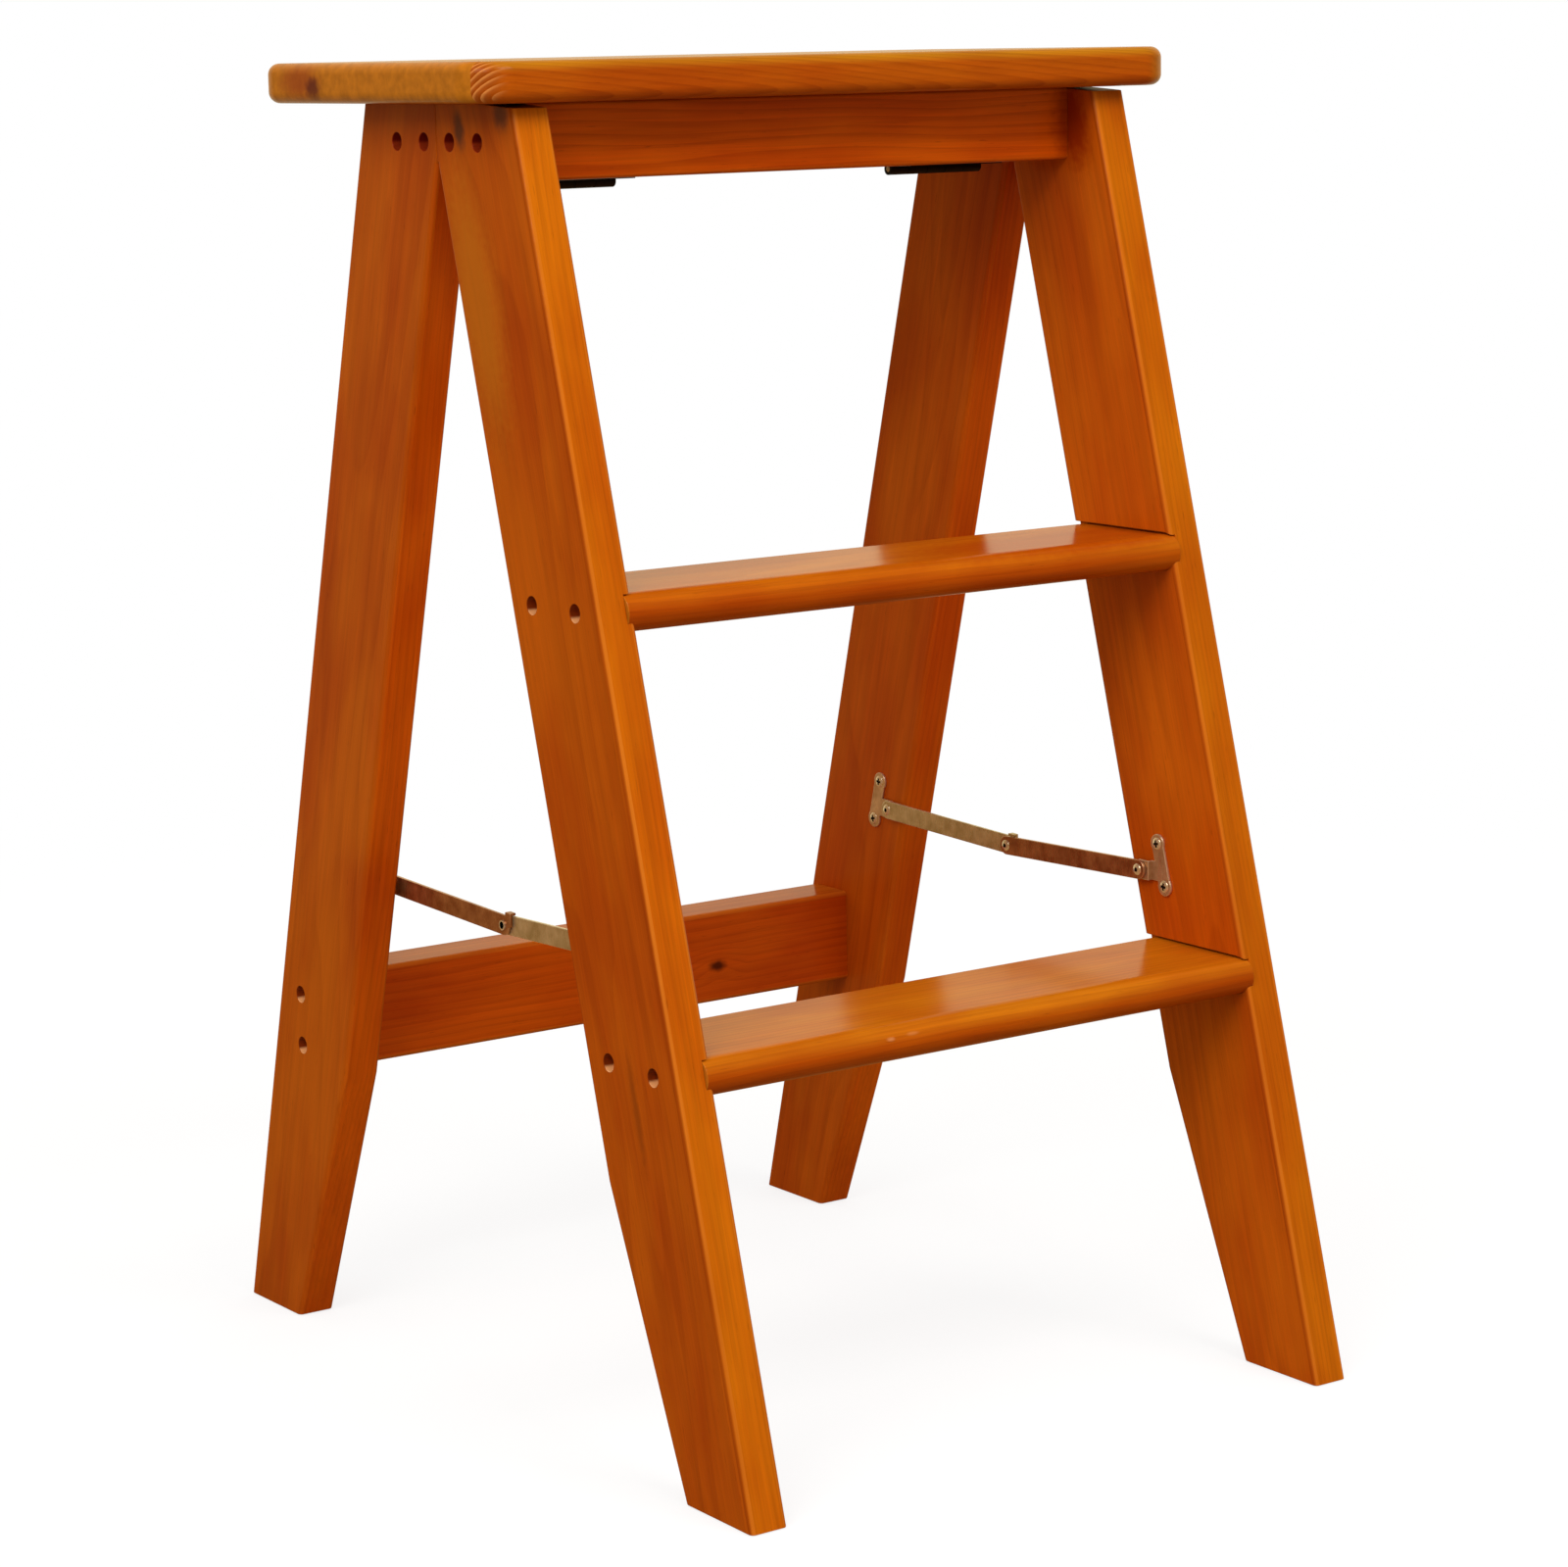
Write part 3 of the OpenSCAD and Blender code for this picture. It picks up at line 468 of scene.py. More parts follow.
# Stains on the seat's left end.
SEAT_MARKS = (
    ((-204, 84, 641), (16, 20, 9), "#9A3E14", 0.75, 0),
    ((-204, 71, 638), (16, 8, 6), "#541A18", 0.8, 0),
)
seat_pine = lacquered_pine("stained_pine_seat", None, (-204, -124, 604), 1.3, "#B04A08",
                           "#B84E06", ring=2.3, late=0.34, worn_and_lit=("#B87410", 0.75),
                           marks=SEAT_MARKS, staves=SEAT_STAVE, run_out=0.05, core=77)
pine_board("seat_board", "front_frame", seat_pine, 0.4 * MM)

# Front rail
# A planed pine bar between the front legs, under the seat board, with eased arrises. Its
# ends are screwed through the legs, and the seat board is screwed down onto it.
# The corner by the right leg is painted dark red as shade.
RAIL_PAINTED_SHADE = (
    ((161, -48, 614), (13, 16, 24), "#7E1002", 0.6, 0),
)
rail_pine = lacquered_pine("stained_pine_rail", None, (0, 6, 570), 7.1, "#B44206", "#D85404",
                           ring=3.4, late=0.36, marks=RAIL_PAINTED_SHADE)
pine_board("front_rail", "front_frame", rail_pine)

# Front legs
# Boards 72 by 20 mm that lean back 15 degrees. They are tapered towards the foot on the
# inner edge, housed for the treads, and drilled for screws that stay open to view.


def solid_boxes(node):
    """Lowest and highest corners of each loose solid in a CAD node, in order of place."""
    work = bmesh.new()
    work.from_mesh(nodes[node].data)
    bmesh.ops.remove_doubles(work, verts=work.verts, dist=NEAR)
    boxes = []
    for solid in connected(work.faces, lambda edge: True):
        corners = [vert.co for face in solid for vert in face.verts]
        boxes.append((Vector(map(min, *corners)), Vector(map(max, *corners))))
    work.free()
    return sorted(boxes, key=lambda box: [round(place / (0.1 * MM)) for place in box[0]])


def mark_bores(mesh, attribute, *screw_nodes):
    """Set an attribute to 1 on the walls of the counterbores that lead to these screws."""
    inside = [0.0] * len(mesh.vertices)
    axes = [(low + high) / 2 for node in screw_nodes for low, high in solid_boxes(node)]
    outer_face = max(abs(vert.co.x) for vert in mesh.vertices)
    for vert in mesh.vertices:
        off = min(math.hypot(vert.co.y - axis.y, vert.co.z - axis.z) for axis in axes)
        depth = outer_face - abs(vert.co.x)
        if off < COUNTERBORE_RADIUS + RIM_REACH and RIM_DEPTH < depth < COUNTERBORE_DEPTH:
            inside[vert.index] = 1.0
    mesh.attributes.new(attribute, "FLOAT", "POINT").data.foreach_set("value", inside)


COUNTERBORE_DEPTH = 6.2 * MM
COUNTERBORE_RADIUS = 4.25 * MM
# The walls' colour starts just inside the leg's face, and takes in the eased rim.
RIM_REACH = 0.3 * MM
RIM_DEPTH = 0.05 * MM
FRONT_LEAN = 15
# A honey patch below the top, two ink-dark stains by the screw holes, and a streak lower down.
LEFT_LEG_MARKS = (
    ((-179, -33, 540), (70, 20, 10), "#C87414", 0.5, 0),
    ((-179, -21, 619), (10, 5, 5), "#33241E", 0.75, 2),
    ((-179, -58, 626), (8, 7, 7), "#3A2A24", 0.65, 2),
    ((-179, -150, 178), (30, 3, 8), "#6E2E08", 0.45, 2),
)
left_leg_pine = lacquered_pine("stained_pine_front_left", FRONT_LEAN, (-60, -90, 300), 3.6,
                               "#BA4E06", "#CC6204", ring=3.4, marks=LEFT_LEG_MARKS, wear_and_light=0.9)
# The same dark red painted shade in the corner as on the rail.
RIGHT_LEG_PAINTED_SHADE = (
    ((159, -53, 613), (26, 12, 13), "#8E1202", 0.75, 0),
)
right_leg_pine = lacquered_pine("stained_pine_front_right", FRONT_LEAN, (60, -150, 300), 5.2,
                                "#CC5808", "#C86204", ring=3.1, marks=RIGHT_LEG_PAINTED_SHADE,
                                wear_and_light=0.9)
for side, leg_pine in (("left", left_leg_pine), ("right", right_leg_pine)):
    leg = pine_board("front_leg_" + side, "front_frame", leg_pine, 0.4 * MM)
    mark_bores(leg, "painted_shade_bore", "front_rail_screws")
    mark_bores(leg, "raw_lit_bore", "upper_tread_screws", "lower_tread_screws")

# Treads
# Boards with half-round noses that sit in the legs' housings. Feet have polished the tops, which
# are painted yellower: partly thinned stain, partly painted light.
UPPER_TREAD_MARKS = (
    ((100, -105, 412), (110, 45, 5), "#A83402", 0.65, 0),
)
LOWER_TREAD_MARKS = (
    ((-60, -184, 200), (3, 1.2, 1.2), "#F0A468", 0.55, 0.5),
    ((-47, -184, 201), (4, 1, 1), "#E08C4C", 0.4, 0.5),
)
upper_tread_pine = lacquered_pine("stained_pine_tread", None, (0, -60, 150), 3.9,
                                  "#B84A04", "#BE4E04", ring=3.4, late=0.2,
                                  worn_and_lit=("#CC700A", 0.62), marks=UPPER_TREAD_MARKS)
pine_board("upper_tread", "front_frame", upper_tread_pine)
lower_tread_pine = lacquered_pine("stained_pine_lower_tread", None, (0, -210, 160), 8.4,
                                  "#B84A04", "#C05004", ring=3.6, late=0.22,
                                  worn_and_lit=("#D0780E", 0.66), marks=LOWER_TREAD_MARKS)
pine_board("lower_tread", "front_frame", lower_tread_pine)

# Rear frame
# The same boards again, without treads: a rail, two legs that lean forward and a stretcher.
# They are redder and darker than the front boards: partly a stain of their own, partly painted
# shade where they stand behind the front frame.
rear_rail_pine = lacquered_pine("stained_pine_rear_rail", None, (0, 60, 580), 4.4,
                                "#B04206", "#B84206", ring=2.8, late=0.36)
pine_board("rear_rail", "rear_frame", rear_rail_pine)
REAR_LEGS = {
    "left": {"pith_x": -40, "seed": 6.3, "face": "#BA500A"},
    "right": {"pith_x": 40, "seed": 9.8, "face": "#C8540A"},
}
for side, board in REAR_LEGS.items():
    leg_pine = lacquered_pine("stained_pine_rear_" + side, -FRONT_LEAN,
                              (board["pith_x"], 130, 300), board["seed"], board["face"],
                              "#D05004", ring=3.3, wear_and_light=0.1)
    leg = pine_board("rear_leg_" + side, "rear_frame", leg_pine, 0.4 * MM)
    mark_bores(leg, "painted_shade_bore", "rear_rail_screws")
    mark_bores(leg, "raw_lit_bore", "stretcher_screws")
STRETCHER_MARKS = (
    ((71, 152, 158), (6, 4, 3.5), "#3A0C04", 0.9, 5),
)
stretcher_pine = lacquered_pine("stained_pine_stretcher", None, (0, 190, 210), 5.9,
                                "#C45C10", "#CA4A06", ring=3.6, late=0.26,
                                marks=STRETCHER_MARKS)
pine_board("rear_stretcher", "rear_frame", stretcher_pine)

# Assembly screws
# Countersunk cross-head screws of zinc-plated steel, driven to the bottom of counterbores
# that are left open. The same kind of screw holds the hinges, painted black with them.
HEAD_CREASE = math.radians(35)


def plated_steel(name, base, deep, worn_and_lit, roughness, metallic=0.75, specular=0.5):
    """Plated or painted rolled steel: soft broad reflections that break up along the strip.

    base and deep are the colours of its patches. The third colour is that of its edges: brighter
    where handling has polished them, and a painted highlight.
    """
    material = bpy.data.materials.new(name)
    tree = cleared_tree(material)
    place = add_node(tree, "ShaderNodeTexCoord").outputs["Object"]
    patch = add_node(tree, "ShaderNodeTexNoise", {
        "Vector": place, "Scale": 120, "Detail": 4, "Roughness": 0.6})
    patch_mask = add_node(tree, "ShaderNodeMapRange", {
        "Value": patch, "From Min": 0.35, "From Max": 0.65})
    colour = add_node(tree, "ShaderNodeMix", {
        0: patch_mask, 6: linear(base), 7: linear(deep)}, data_type="RGBA")
    # Rolled edges are painted brighter: polished by handling, and a painted highlight along them.
    edge = add_node(tree, "ShaderNodeAttribute", attribute_name="arris").outputs["Fac"]
    edge_mask = add_node(tree, "ShaderNodeMath", {0: edge, 1: 0.55}, operation="MULTIPLY")
    colour = add_node(tree, "ShaderNodeMix", {
        0: edge_mask, 6: colour, 7: linear(worn_and_lit)}, data_type="RGBA")
    # Recesses in the heads are painted dark: grease, and painted shade in the hollows.
    sunk = add_node(tree, "ShaderNodeAttribute", attribute_name="sunk").outputs["Fac"]
    colour = add_node(tree, "ShaderNodeMix", {
        0: sunk, 6: colour, 7: linear("#2E2016")}, data_type="RGBA")
    line_place = add_node(tree, "ShaderNodeVectorMath", {
        0: place, 1: (900, 900, 40)}, operation="MULTIPLY")
    lines = add_node(tree, "ShaderNodeTexNoise", {"Vector": line_place, "Scale": 1, "Detail": 3})
    line_roughness = add_node(tree, "ShaderNodeMapRange", {
        "Value": lines, "From Min": 0.3, "From Max": 0.7, "To Min": roughness - 0.06,
        "To Max": roughness + 0.08})
    bump = add_node(tree, "ShaderNodeBump", {
        "Height": lines, "Strength": 0.15, "Distance": 0.00005})
    shader = add_node(tree, "ShaderNodeBsdfPrincipled", {
        "Base Color": colour, "Roughness": line_roughness, "Metallic": metallic,
        "Specular IOR Level": specular, "Normal": bump})
    add_node(tree, "ShaderNodeOutputMaterial", {"Surface": shader})
    return material


def place_fasteners(name, tree, spots, sizes, material, body, slot, replaced):
    """Set a fastener at each spot by its node tree, and keep the result as a plain mesh."""
    points = bpy.data.meshes.new(name + "_spots")
    points.from_pydata([spot for spot, way in spots], [], [])
    ways = points.attributes.new("facing", "FLOAT_VECTOR", "POINT")
    ways.data.foreach_set("vector", [c for spot, way in spots for c in way])
    holder = new_object(name + "_holder", points)
    modifier = holder.modifiers.new("fasteners", "NODES")
    modifier.node_group = tree
    inputs = {i.name: i.identifier for i in tree.interface.items_tree
              if i.item_type == "SOCKET" and i.in_out == "INPUT"}
    for size, value in sizes.items():
        modifier[inputs[size]] = value
    modifier[inputs["Finish"]] = material
    evaluated = holder.evaluated_get(bpy.context.evaluated_depsgraph_get())
    mesh = bpy.data.meshes.new_from_object(evaluated)
    bpy.data.objects.remove(holder)
    if "facing" in mesh.attributes:
        mesh.attributes.remove(mesh.attributes["facing"])
    new_piece(name, mesh, material, body, slot, *replaced)


def head_spots(node, way, head_height=0.0):
    """Where the head of each fastener in a CAD node goes, and the way it faces.

    way is "down", or "out" or "in" for a head on the outer or the inner side of a leg.
    head_height is how far the underside of a raised head lies from its top.
    """
    spots = []
    for low, high in solid_boxes(node):
        middle = [(a + b) / 2 for a, b in zip(low, high)]
        if way == "down":
            spots.append(((middle[0], middle[1], low.z), (0, 0, -1)))
            continue
        outward = 1 if high.x > 0 else -1
        side = outward if way == "out" else -outward
        top = high.x if side > 0 else low.x
        spots.append(((top - side * head_height, middle[1], middle[2]), (side, 0, 0)))
    return spots


def fastener_tree(name, lengths):
    """A node tree with named lengths, a seed and a finish. Returns it and its inputs."""
    tree = bpy.data.node_groups.new(name, "GeometryNodeTree")
    tree.interface.new_socket("Geometry", in_out="INPUT", socket_type="NodeSocketGeometry")
    for length, default in lengths.items():
        socket = tree.interface.new_socket(length, in_out="INPUT", socket_type="NodeSocketFloat")
        socket.default_value = default
    tree.interface.new_socket("Seed", in_out="INPUT", socket_type="NodeSocketInt")
    tree.interface.new_socket("Finish", in_out="INPUT", socket_type="NodeSocketMaterial")
    tree.interface.new_socket("Geometry", in_out="OUTPUT", socket_type="NodeSocketGeometry")
    return tree, add_node(tree, "NodeGroupInput").outputs


def shares(tree, given, **wanted):
    """Lengths of a fastener's parts, each as a share of one of its given lengths."""
    return {name: add_node(tree, "ShaderNodeMath", {0: given[source], 1: share},
                           operation="MULTIPLY")
            for name, (source, share) in wanted.items()}


def finish_fastener(tree, given, *parts):
    """Join the parts and set them on every spot, each turned at random about its own axis."""
    fastener = add_node(tree, "GeometryNodeJoinGeometry")
    for part in parts:
        link(tree, part, fastener.inputs[0])
    facing = add_node(tree, "GeometryNodeInputNamedAttribute", {"Name": "facing"},
                      data_type="FLOAT_VECTOR")
    upright = add_node(tree, "FunctionNodeAlignRotationToVector", {"Vector": facing}, axis="Z")
    spin = add_node(tree, "FunctionNodeRandomValue", {
        2: 0.0, 3: math.tau, "Seed": given["Seed"]}, data_type="FLOAT")
    own_turn = add_node(tree, "FunctionNodeAxisAngleToRotation", {
        "Axis": (0, 0, 1), "Angle": spin})
    turned = add_node(tree, "FunctionNodeRotateRotation", {
        0: upright, 1: own_turn}, rotation_space="LOCAL")
    placed = add_node(tree, "GeometryNodeInstanceOnPoints", {
        "Points": given["Geometry"], "Instance": fastener, "Rotation": turned})
    real = add_node(tree, "GeometryNodeRealizeInstances", {0: placed})
    smooth = add_node(tree, "GeometryNodeSetShadeSmooth", {0: real, "Shade Smooth": True})
    turn = add_node(tree, "GeometryNodeInputMeshEdgeAngle")
    crease = add_node(tree, "FunctionNodeCompare", {0: turn, 1: HEAD_CREASE},
                      operation="GREATER_THAN")
    creased = add_node(tree, "GeometryNodeSetShadeSmooth", {
        0: smooth, "Selection": crease, "Shade Smooth": False}, domain="EDGE")
    done = add_node(tree, "GeometryNodeSetMaterial", {
        "Geometry": creased, "Material": given["Finish"]})
    add_node(tree, "NodeGroupOutput", {0: done})


def sink(tree, solid, *cutters):
    """Cut shapes out of a head. The attribute sunk is 1 on the faces that they leave."""
    cut = add_node(tree, "GeometryNodeMeshBoolean", {0: solid}, operation="DIFFERENCE",
                   solver="EXACT")
    for cutter in cutters:
        marked = add_node(tree, "GeometryNodeStoreNamedAttribute", {
            "Geometry": cutter, "Name": "sunk", "Value": 1.0}, data_type="FLOAT", domain="FACE")
        link(tree, marked, cut.inputs[1])
    return cut


def cross_recess(tree, solid, reach, width, depth, top=0.0):
    """Sink a cross recess half as deep as depth into a head, from its top down."""
    size = add_node(tree, "ShaderNodeCombineXYZ", {0: reach, 1: width, 2: depth})
    bar = add_node(tree, "GeometryNodeMeshCube", {"Size": size})
    bar_place = add_node(tree, "ShaderNodeCombineXYZ", {2: top})
    bar = add_node(tree, "GeometryNodeTransform", {"Geometry": bar, "Translation": bar_place})
    cross_bar = add_node(tree, "GeometryNodeTransform", {
        "Geometry": bar, "Rotation": Euler((0, 0, math.pi / 2))})
    return sink(tree, solid, bar, cross_bar)


def turned_bar(tree, top_radius, foot_radius, length, foot, sides=20):
    """A round bar or cone that stands on its foot at the height given."""
    bar = add_node(tree, "GeometryNodeMeshCone", {
        "Vertices": sides, "Radius Top": top_radius, "Radius Bottom": foot_radius,
        "Depth": length})
    bar_place = add_node(tree, "ShaderNodeCombineXYZ", {2: foot})
    return add_node(tree, "GeometryNodeTransform", {"Geometry": bar, "Translation": bar_place})


WOOD_SCREW = {"Head Diameter": 8 * MM, "Shank Diameter": 4.5 * MM, "Length": 45 * MM}
wood_screw, given = fastener_tree("countersunk_screw", WOOD_SCREW)
cut = shares(wood_screw, given, head_radius=("Head Diameter", 0.5),
             shank_radius=("Shank Diameter", 0.5), tip_radius=("Shank Diameter", 0.085),
             tip_length=("Shank Diameter", 1.0), tip_foot=("Length", -1.0),
             recess_reach=("Head Diameter", 0.6), recess_width=("Head Diameter", 0.14))
head_depth = add_node(wood_screw, "ShaderNodeMath", {
    0: cut["head_radius"], 1: cut["shank_radius"]}, operation="SUBTRACT")
head_foot = add_node(wood_screw, "ShaderNodeMath", {0: head_depth, 1: -1.0}, operation="MULTIPLY")
head = turned_bar(wood_screw, cut["head_radius"], cut["shank_radius"], head_depth, head_foot,
                  sides=40)
recess_depth = add_node(wood_screw, "ShaderNodeMath", {
    0: head_depth, 1: 1.5}, operation="MULTIPLY")
head = cross_recess(wood_screw, head, cut["recess_reach"], cut["recess_width"], recess_depth)
rod_foot = add_node(wood_screw, "ShaderNodeMath", {
    0: cut["tip_length"], 1: given["Length"]}, operation="SUBTRACT")
rod_length = add_node(wood_screw, "ShaderNodeMath", {
    0: head_foot, 1: rod_foot}, operation="SUBTRACT")
rod = turned_bar(wood_screw, cut["shank_radius"], cut["shank_radius"], rod_length, rod_foot)
tip = turned_bar(wood_screw, cut["shank_radius"], cut["tip_radius"], cut["tip_length"],
                 cut["tip_foot"])
finish_fastener(wood_screw, given, head, rod, tip)

# Zinc over steel: pale grey with a warm cast, bright only on the heads' edges.
screw_zinc = plated_steel("zinc_plated_screw_steel", "#C4BAA6", "#A0947E", "#DCD4C4", 0.32)
ASSEMBLY_SCREWS = {
    "front_frame": ("front_rail_screws", "upper_tread_screws", "lower_tread_screws"),
    "rear_frame": ("rear_rail_screws", "stretcher_screws"),
}
for body, groups in ASSEMBLY_SCREWS.items():
    spots = [spot for group in groups for spot in head_spots(group, "out")]
    if body == "front_frame":
        groups += ("seat_screws",)
        spots += head_spots("seat_screws", "down")
    place_fasteners(body + "_screws", wood_screw, spots, {**WOOD_SCREW, "Seed": 4}, screw_zinc,
                    body, "screw_steel", groups)

# Hinges
# Butt hinges of 1.5 mm steel under the rails, rolled round 3 mm pins and painted black. Each
# leaf is held by three screws. The paint hides the steel, so there is only a dull dark sheen.
hinge_black = plated_steel("black_enamelled_steel", "#100A08", "#0A0605", "#241A14", 0.55,
                           metallic=0.0, specular=0.15)
for way, body in (("front", "front_frame"), ("rear", "rear_frame")):
    for side in ("left", "right"):
        node = f"{way}_hinge_leaf_{side}"
        new_piece(node + "_black", eased_copy(node, 0.15 * MM), hinge_black, body,
                  "black_steel", node)
    screws = way + "_hinge_screws"
    place_fasteners(way + "_hinge_screw_set", wood_screw, head_spots(screws, "down"), {
        "Head Diameter": 6 * MM, "Shank Diameter": 3 * MM, "Length": 16 * MM, "Seed": 8},
        hinge_black, body, "black_steel", (screws,))
new_piece("hinge_pins_steel", eased_copy("hinge_pins", 0.3 * MM), screw_zinc, "front_frame",
          "screw_steel", "hinge_pins")

# Folding stays
# Flat strips of rolled steel, yellow zinc plated, riveted to brackets bent from the same
# strip. The brackets are screwed to the legs' inner faces with pan-head screws.
# Passivated zinc runs from straw to tan, and rubs bright along the edges, where a highlight is
# painted too, and on the heads.
strip_zinc = plated_steel("yellow_zinc_strip", "#D4BE94", "#B49E6E", "#ECE0C0", 0.28)
tan_zinc = plated_steel("brown_zinc_strip", "#B87E4E", "#94582E", "#DCB48C", 0.28)
bracket_zinc = plated_steel("rosy_zinc_bracket", "#DEBA90", "#BA946A", "#F4E4C8", 0.3)
head_zinc = plated_steel("bright_zinc_heads", "#F2E4C4", "#D8C4A0", "#FFF4DC", 0.25)
STAY_BODIES = {
    "front_stay_bracket_left": "front_frame", "front_stay_bracket_right": "front_frame",
    "rear_stay_bracket_left": "rear_frame", "rear_stay_bracket_right": "rear_frame",
    "front_link_left": "left_front_link", "front_link_right": "right_front_link",
    "rear_link_left": "left_rear_link", "rear_link_right": "right_rear_link",
}
# Both stays are one model turned end for end, so the link with the browner plating is in
# front on the right and at the rear on the left.
for node, body in STAY_BODIES.items():
    plating = bracket_zinc if "bracket" in node else strip_zinc
    if node in ("front_link_right", "rear_link_left"):
        plating = tan_zinc
    new_piece(node + "_strip", eased_copy(node, 0.45 * MM, segments=3), plating,
              body, "yellow_zinc_steel", node)


def dome_head(tree, radius, height):
    """A low dome with its flat side at Z = 0: a ball flattened, its lower half cut level."""
    ball = add_node(tree, "GeometryNodeMeshUVSphere", {
        "Segments": 32, "Rings": 16, "Radius": radius})
    position = add_node(tree, "GeometryNodeInputPosition")
    parts = add_node(tree, "ShaderNodeSeparateXYZ", {0: position}).outputs
    level = add_node(tree, "ShaderNodeMath", {0: parts[2], 1: 0.0}, operation="MAXIMUM")
    share = add_node(tree, "ShaderNodeMath", {0: height, 1: radius}, operation="DIVIDE")
    lifted = add_node(tree, "ShaderNodeMath", {0: level, 1: share}, operation="MULTIPLY")
    moved = add_node(tree, "ShaderNodeCombineXYZ", {0: parts[0], 1: parts[1], 2: lifted})
    return add_node(tree, "GeometryNodeSetPosition", {"Geometry": ball, "Position": moved})


PAN_SCREW = {"Head Diameter": 6.4 * MM, "Head Height": 0.9 * MM, "Shank Diameter": 3 * MM,
             "Length": 12 * MM}
pan_screw, given = fastener_tree("pan_head_screw", PAN_SCREW)
cut = shares(pan_screw, given, head_radius=("Head Diameter", 0.5),
             recess_reach=("Head Diameter", 0.58), recess_width=("Head Diameter", 0.2),
             recess_depth=("Head Height", 1.7), shank_radius=("Shank Diameter", 0.5),
             shank_foot=("Length", -1.0))
pan = dome_head(pan_screw, cut["head_radius"], given["Head Height"])
pan = cross_recess(pan_screw, pan, cut["recess_reach"], cut["recess_width"],
                   cut["recess_depth"], given["Head Height"])
shank = turned_bar(pan_screw, cut["shank_radius"], cut["shank_radius"], given["Length"],
                   cut["shank_foot"])
finish_fastener(pan_screw, given, pan, shank)

for way, body in (("front", "front_frame"), ("rear", "rear_frame")):
    screws = way + "_bracket_screws"
    place_fasteners(way + "_bracket_screw_set", pan_screw,
                    head_spots(screws, "in", PAN_SCREW["Head Height"]),
                    {**PAN_SCREW, "Seed": 2}, head_zinc, body, "yellow_zinc_steel", (screws,))

# The rivets are set over from one side, which leaves a hollow in the middle of the dome.
RIVET = {"Head Diameter": 6 * MM, "Head Height": 1 * MM, "Shank Diameter": 3.6 * MM,
         "Tail Diameter": 5 * MM, "Tail Height": 0.8 * MM, "Length": 4 * MM}
rivet, given = fastener_tree("hollow_rivet", RIVET)
cut = shares(rivet, given, head_radius=("Head Diameter", 0.5),
             hollow_radius=("Head Diameter", 0.19), hollow_foot=("Head Height", 0.3),
             shank_radius=("Shank Diameter", 0.5), tail_radius=("Tail Diameter", 0.5),
             foot=("Length", -1.0))
dome = dome_head(rivet, cut["head_radius"], given["Head Height"])
hollow = turned_bar(rivet, cut["hollow_radius"], cut["hollow_radius"], given["Head Height"],
                    cut["hollow_foot"])
bars = [turned_bar(rivet, cut[radius], cut[radius], given[length], cut["foot"], sides=32)
        for radius, length in (("shank_radius", "Length"), ("tail_radius", "Tail Height"))]
finish_fastener(rivet, given, sink(rivet, dome, hollow), *bars)

RIVET_BODIES = {
    "front_pivot_rivets": "front_frame",
    "middle_rivet_left": "left_front_link", "middle_rivet_right": "right_front_link",
    "rear_pivot_rivet_left": "left_rear_link", "rear_pivot_rivet_right": "right_rear_link",
}
for node, body in RIVET_BODIES.items():
    low, high = solid_boxes(node)[-1]
    sizes = {**RIVET, "Length": high.x - low.x - RIVET["Head Height"], "Seed": 5}
    if "rear_pivot" in node:
        # This rivet is flush behind, so its tail is no wider than its shank.
        sizes["Tail Diameter"] = RIVET["Shank Diameter"]
    place_fasteners(node + "_steel", rivet, head_spots(node, "in", RIVET["Head Height"]), sizes,
                    head_zinc, body, "yellow_zinc_steel", (node,))

# Studio
# A plain pale floor, soft lamps from the front on both sides, and the white room's light.
# Gloss sees a dim warm room with a bright backdrop, as it did in the photographer's room.
FLOOR_REACH = 30
FLOOR_DROP = 0.5 * MM
# The floor's own paint shows near the stool, and gives way to a plain glow between these
# distances from it, so that the floor runs into the white room.
PAINT_ENDS = 0.35
GLOW_ALONE = 1.6
# The backdrop stands this way, and shows in the gloss of the floor from this far on.
BACKDROP_WAY = (0.57, 0.81, 0)
BACKDROP_FOOT = 1.5
floor_mesh = bpy.data.meshes.new("studio_floor")
floor_mesh.from_pydata([(x * FLOOR_REACH, y * FLOOR_REACH, 0)
                        for x, y in ((-1, -1), (1, -1), (1, 1), (-1, 1))], [], [(0, 1, 2, 3)])
floor = new_object("studio_floor", floor_mesh)
floor.location.z = -FLOOR_DROP
floor_paint = bpy.data.materials.new("matte_white_floor")
tree = cleared_tree(floor_paint)
seen = add_node(tree, "ShaderNodeLightPath").outputs
# The paper is pale to the eye, and bounces little light up on the stool.
paper = add_node(tree, "ShaderNodeMix", {
    0: seen["Is Camera Ray"], 6: linear("#96948F"), 7: linear("#F2F0EC")}, data_type="RGBA")
lit = add_node(tree, "ShaderNodeBsdfDiffuse", {"Color": paper})


def mirrored_room(tree, toward):
    """What gloss sees along a direction: the white backdrop behind the stool, dim warm walls."""
    back = add_node(tree, "ShaderNodeVectorMath", {
        0: toward, 1: BACKDROP_WAY}, operation="DOT_PRODUCT")
    backdrop = add_node(tree, "ShaderNodeMapRange", {
        "Value": back, "From Min": 0.3, "From Max": 0.8}, interpolation_type="SMOOTHSTEP")
    return add_node(tree, "ShaderNodeMix", {
        0: backdrop, 6: linear("#A87A3C"), 7: linear("#FFF2C8")}, data_type="RGBA")


floor_place = add_node(tree, "ShaderNodeTexCoord").outputs["Object"]
away = add_node(tree, "ShaderNodeVectorMath", {0: floor_place}, operation="LENGTH")
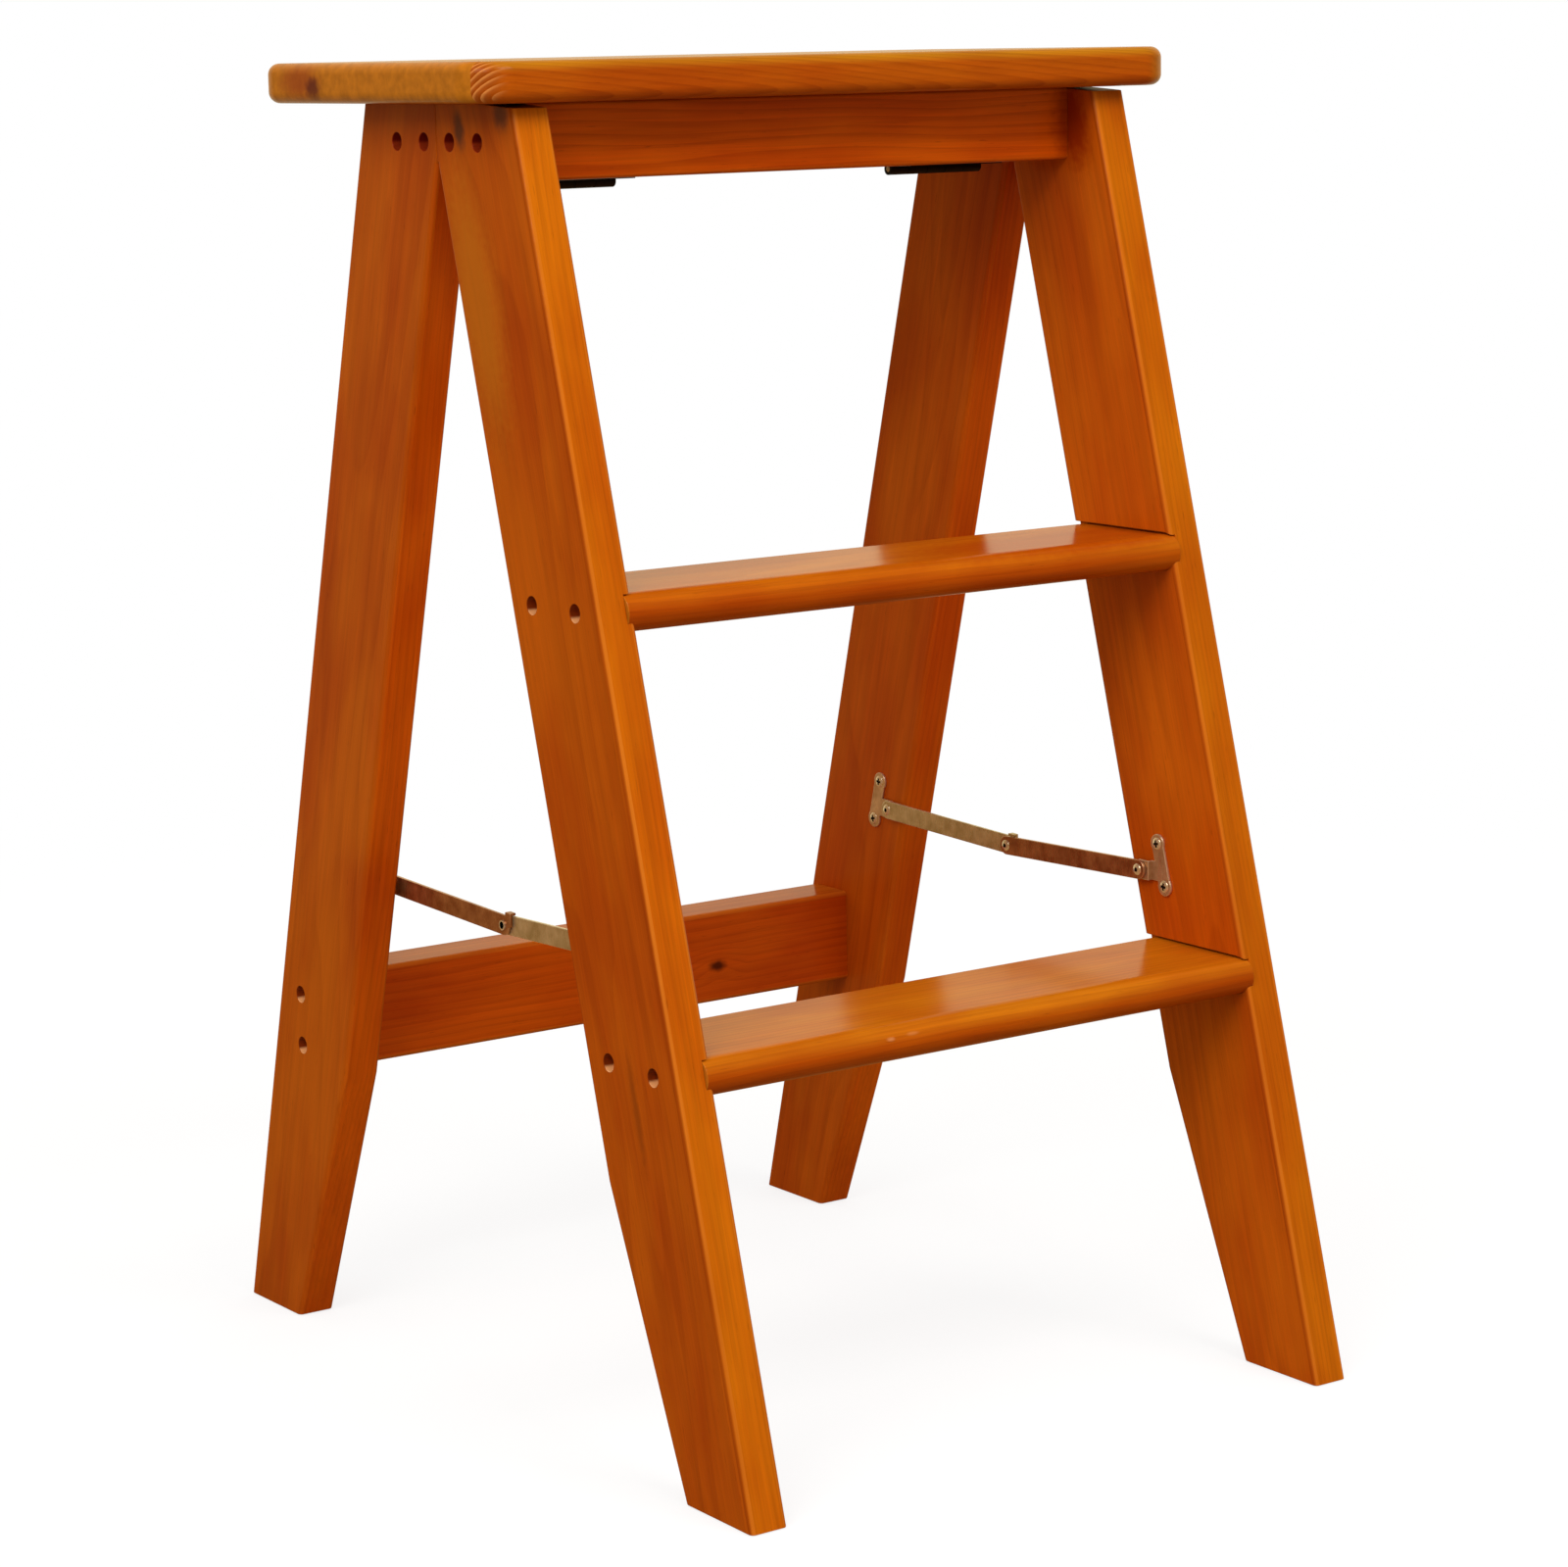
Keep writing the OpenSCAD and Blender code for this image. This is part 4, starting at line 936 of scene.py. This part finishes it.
# The backdrop's light reaches the floor only well behind the stool.
reach = add_node(tree, "ShaderNodeMath", {0: away, 1: BACKDROP_FOOT}, operation="MAXIMUM")
reach = add_node(tree, "ShaderNodeMath", {0: 1.0, 1: reach}, operation="DIVIDE")
floor_toward = add_node(tree, "ShaderNodeVectorMath", {
    0: floor_place, "Scale": reach}, operation="SCALE")
tint = add_node(tree, "ShaderNodeMix", {
    0: seen["Is Glossy Ray"], 6: (1, 1, 1, 1), 7: mirrored_room(tree, floor_toward)},
    data_type="RGBA")
far = add_node(tree, "ShaderNodeMapRange", {
    "Value": away, "From Min": PAINT_ENDS, "From Max": GLOW_ALONE},
    interpolation_type="SMOOTHSTEP")
glow_share = add_node(tree, "ShaderNodeMapRange", {"Value": far, "To Min": 0.72, "To Max": 1.0})
glow_strength = add_node(tree, "ShaderNodeMapRange", {"Value": far, "To Min": 1.1, "To Max": 1.0})
glow = add_node(tree, "ShaderNodeEmission", {"Color": tint, "Strength": glow_strength})
direct = add_node(tree, "ShaderNodeMath", {
    0: seen["Is Camera Ray"], 1: glow_share}, operation="MULTIPLY")
direct = add_node(tree, "ShaderNodeMath", {
    0: direct, 1: seen["Is Glossy Ray"]}, operation="MAXIMUM")
shown = add_node(tree, "ShaderNodeMixShader", {0: direct, 1: lit, 2: glow})
add_node(tree, "ShaderNodeOutputMaterial", {"Surface": shown})
floor_mesh.materials.append(floor_paint)

# The room is white to the camera, and lights the stool a little less than that.
room = bpy.data.worlds.new("white_room")
bpy.context.scene.world = room
tree = cleared_tree(room)
seen = add_node(tree, "ShaderNodeLightPath").outputs
white = add_node(tree, "ShaderNodeBackground", {"Color": (1, 1, 1, 1), "Strength": 1.0})
dim = add_node(tree, "ShaderNodeBackground", {"Color": (1, 1, 1, 1), "Strength": 0.62})
toward = add_node(tree, "ShaderNodeTexCoord").outputs["Generated"]
mirrored = add_node(tree, "ShaderNodeBackground", {
    "Color": mirrored_room(tree, toward), "Strength": 1.0})
mixed = add_node(tree, "ShaderNodeMixShader", {0: seen["Is Glossy Ray"], 1: dim, 2: mirrored})
direct = add_node(tree, "ShaderNodeMath", {
    0: seen["Is Camera Ray"], 1: seen["Is Transmission Ray"]}, operation="MAXIMUM")
mixed = add_node(tree, "ShaderNodeMixShader", {0: direct, 1: mixed, 2: white})
add_node(tree, "ShaderNodeOutputWorld", {"Surface": mixed})


# In watts.
LAMP_POWER = 32


def soft_lamp(name, place, aim, size):
    """A softbox that faces a point. Places and sizes are in metres."""
    lamp = bpy.data.lights.new(name, "AREA")
    lamp.shape = "RECTANGLE"
    lamp.size, lamp.size_y = size
    lamp.energy = LAMP_POWER
    holder = new_object(name, lamp)
    holder.location = place
    holder.rotation_euler = (Vector(aim) - Vector(place)).to_track_quat("-Z", "Y").to_euler()


soft_lamp("key_softbox", (0.3, -1.9, 2.6), (0, 0, 0.35), (1.4, 1.2))
soft_lamp("fill_softbox", (-2.0, -1.0, 2.0), (0, 0, 0.3), (1.6, 1.4))

# Camera
# The place, the aim and the lens were worked out from the stool's own edges in the view. The
# lens is so many picture widths long, and its axis meets the picture off the middle.
IMAGE_WIDTH, IMAGE_HEIGHT = 1600, 1599
FOCAL_PIXELS = 4255.6055
AXIS_X, AXIS_Y = 804.98, 836.72
CAMERA_PLACE = (-1.17684, -1.70034, 0.65932)
YAW, PITCH, ROLL = (math.radians(angle) for angle in (-35.0051, -10.6683, -1.0841))
view = bpy.data.cameras.new("camera")
camera = new_object("camera", view)
bpy.context.scene.camera = camera
ahead = Vector((-math.sin(YAW) * math.cos(PITCH), math.cos(YAW) * math.cos(PITCH),
                math.sin(PITCH)))
across = ahead.cross(Vector((0, 0, 1))).normalized()
upward = across.cross(ahead)
camera_right = across * math.cos(ROLL) + upward * math.sin(ROLL)
camera_up = upward * math.cos(ROLL) - across * math.sin(ROLL)
camera.matrix_world = Matrix.Translation(CAMERA_PLACE) @ Matrix(
    (camera_right, camera_up, -ahead)).transposed().to_4x4()
view.sensor_fit = "HORIZONTAL"
view.sensor_width = 36
view.lens = FOCAL_PIXELS / IMAGE_WIDTH * view.sensor_width
view.shift_x = -(AXIS_X - IMAGE_WIDTH / 2) / IMAGE_WIDTH
view.shift_y = (AXIS_Y - IMAGE_HEIGHT / 2) / IMAGE_WIDTH
view.clip_end = 100
bpy.context.scene.view_settings.view_transform = "Standard"
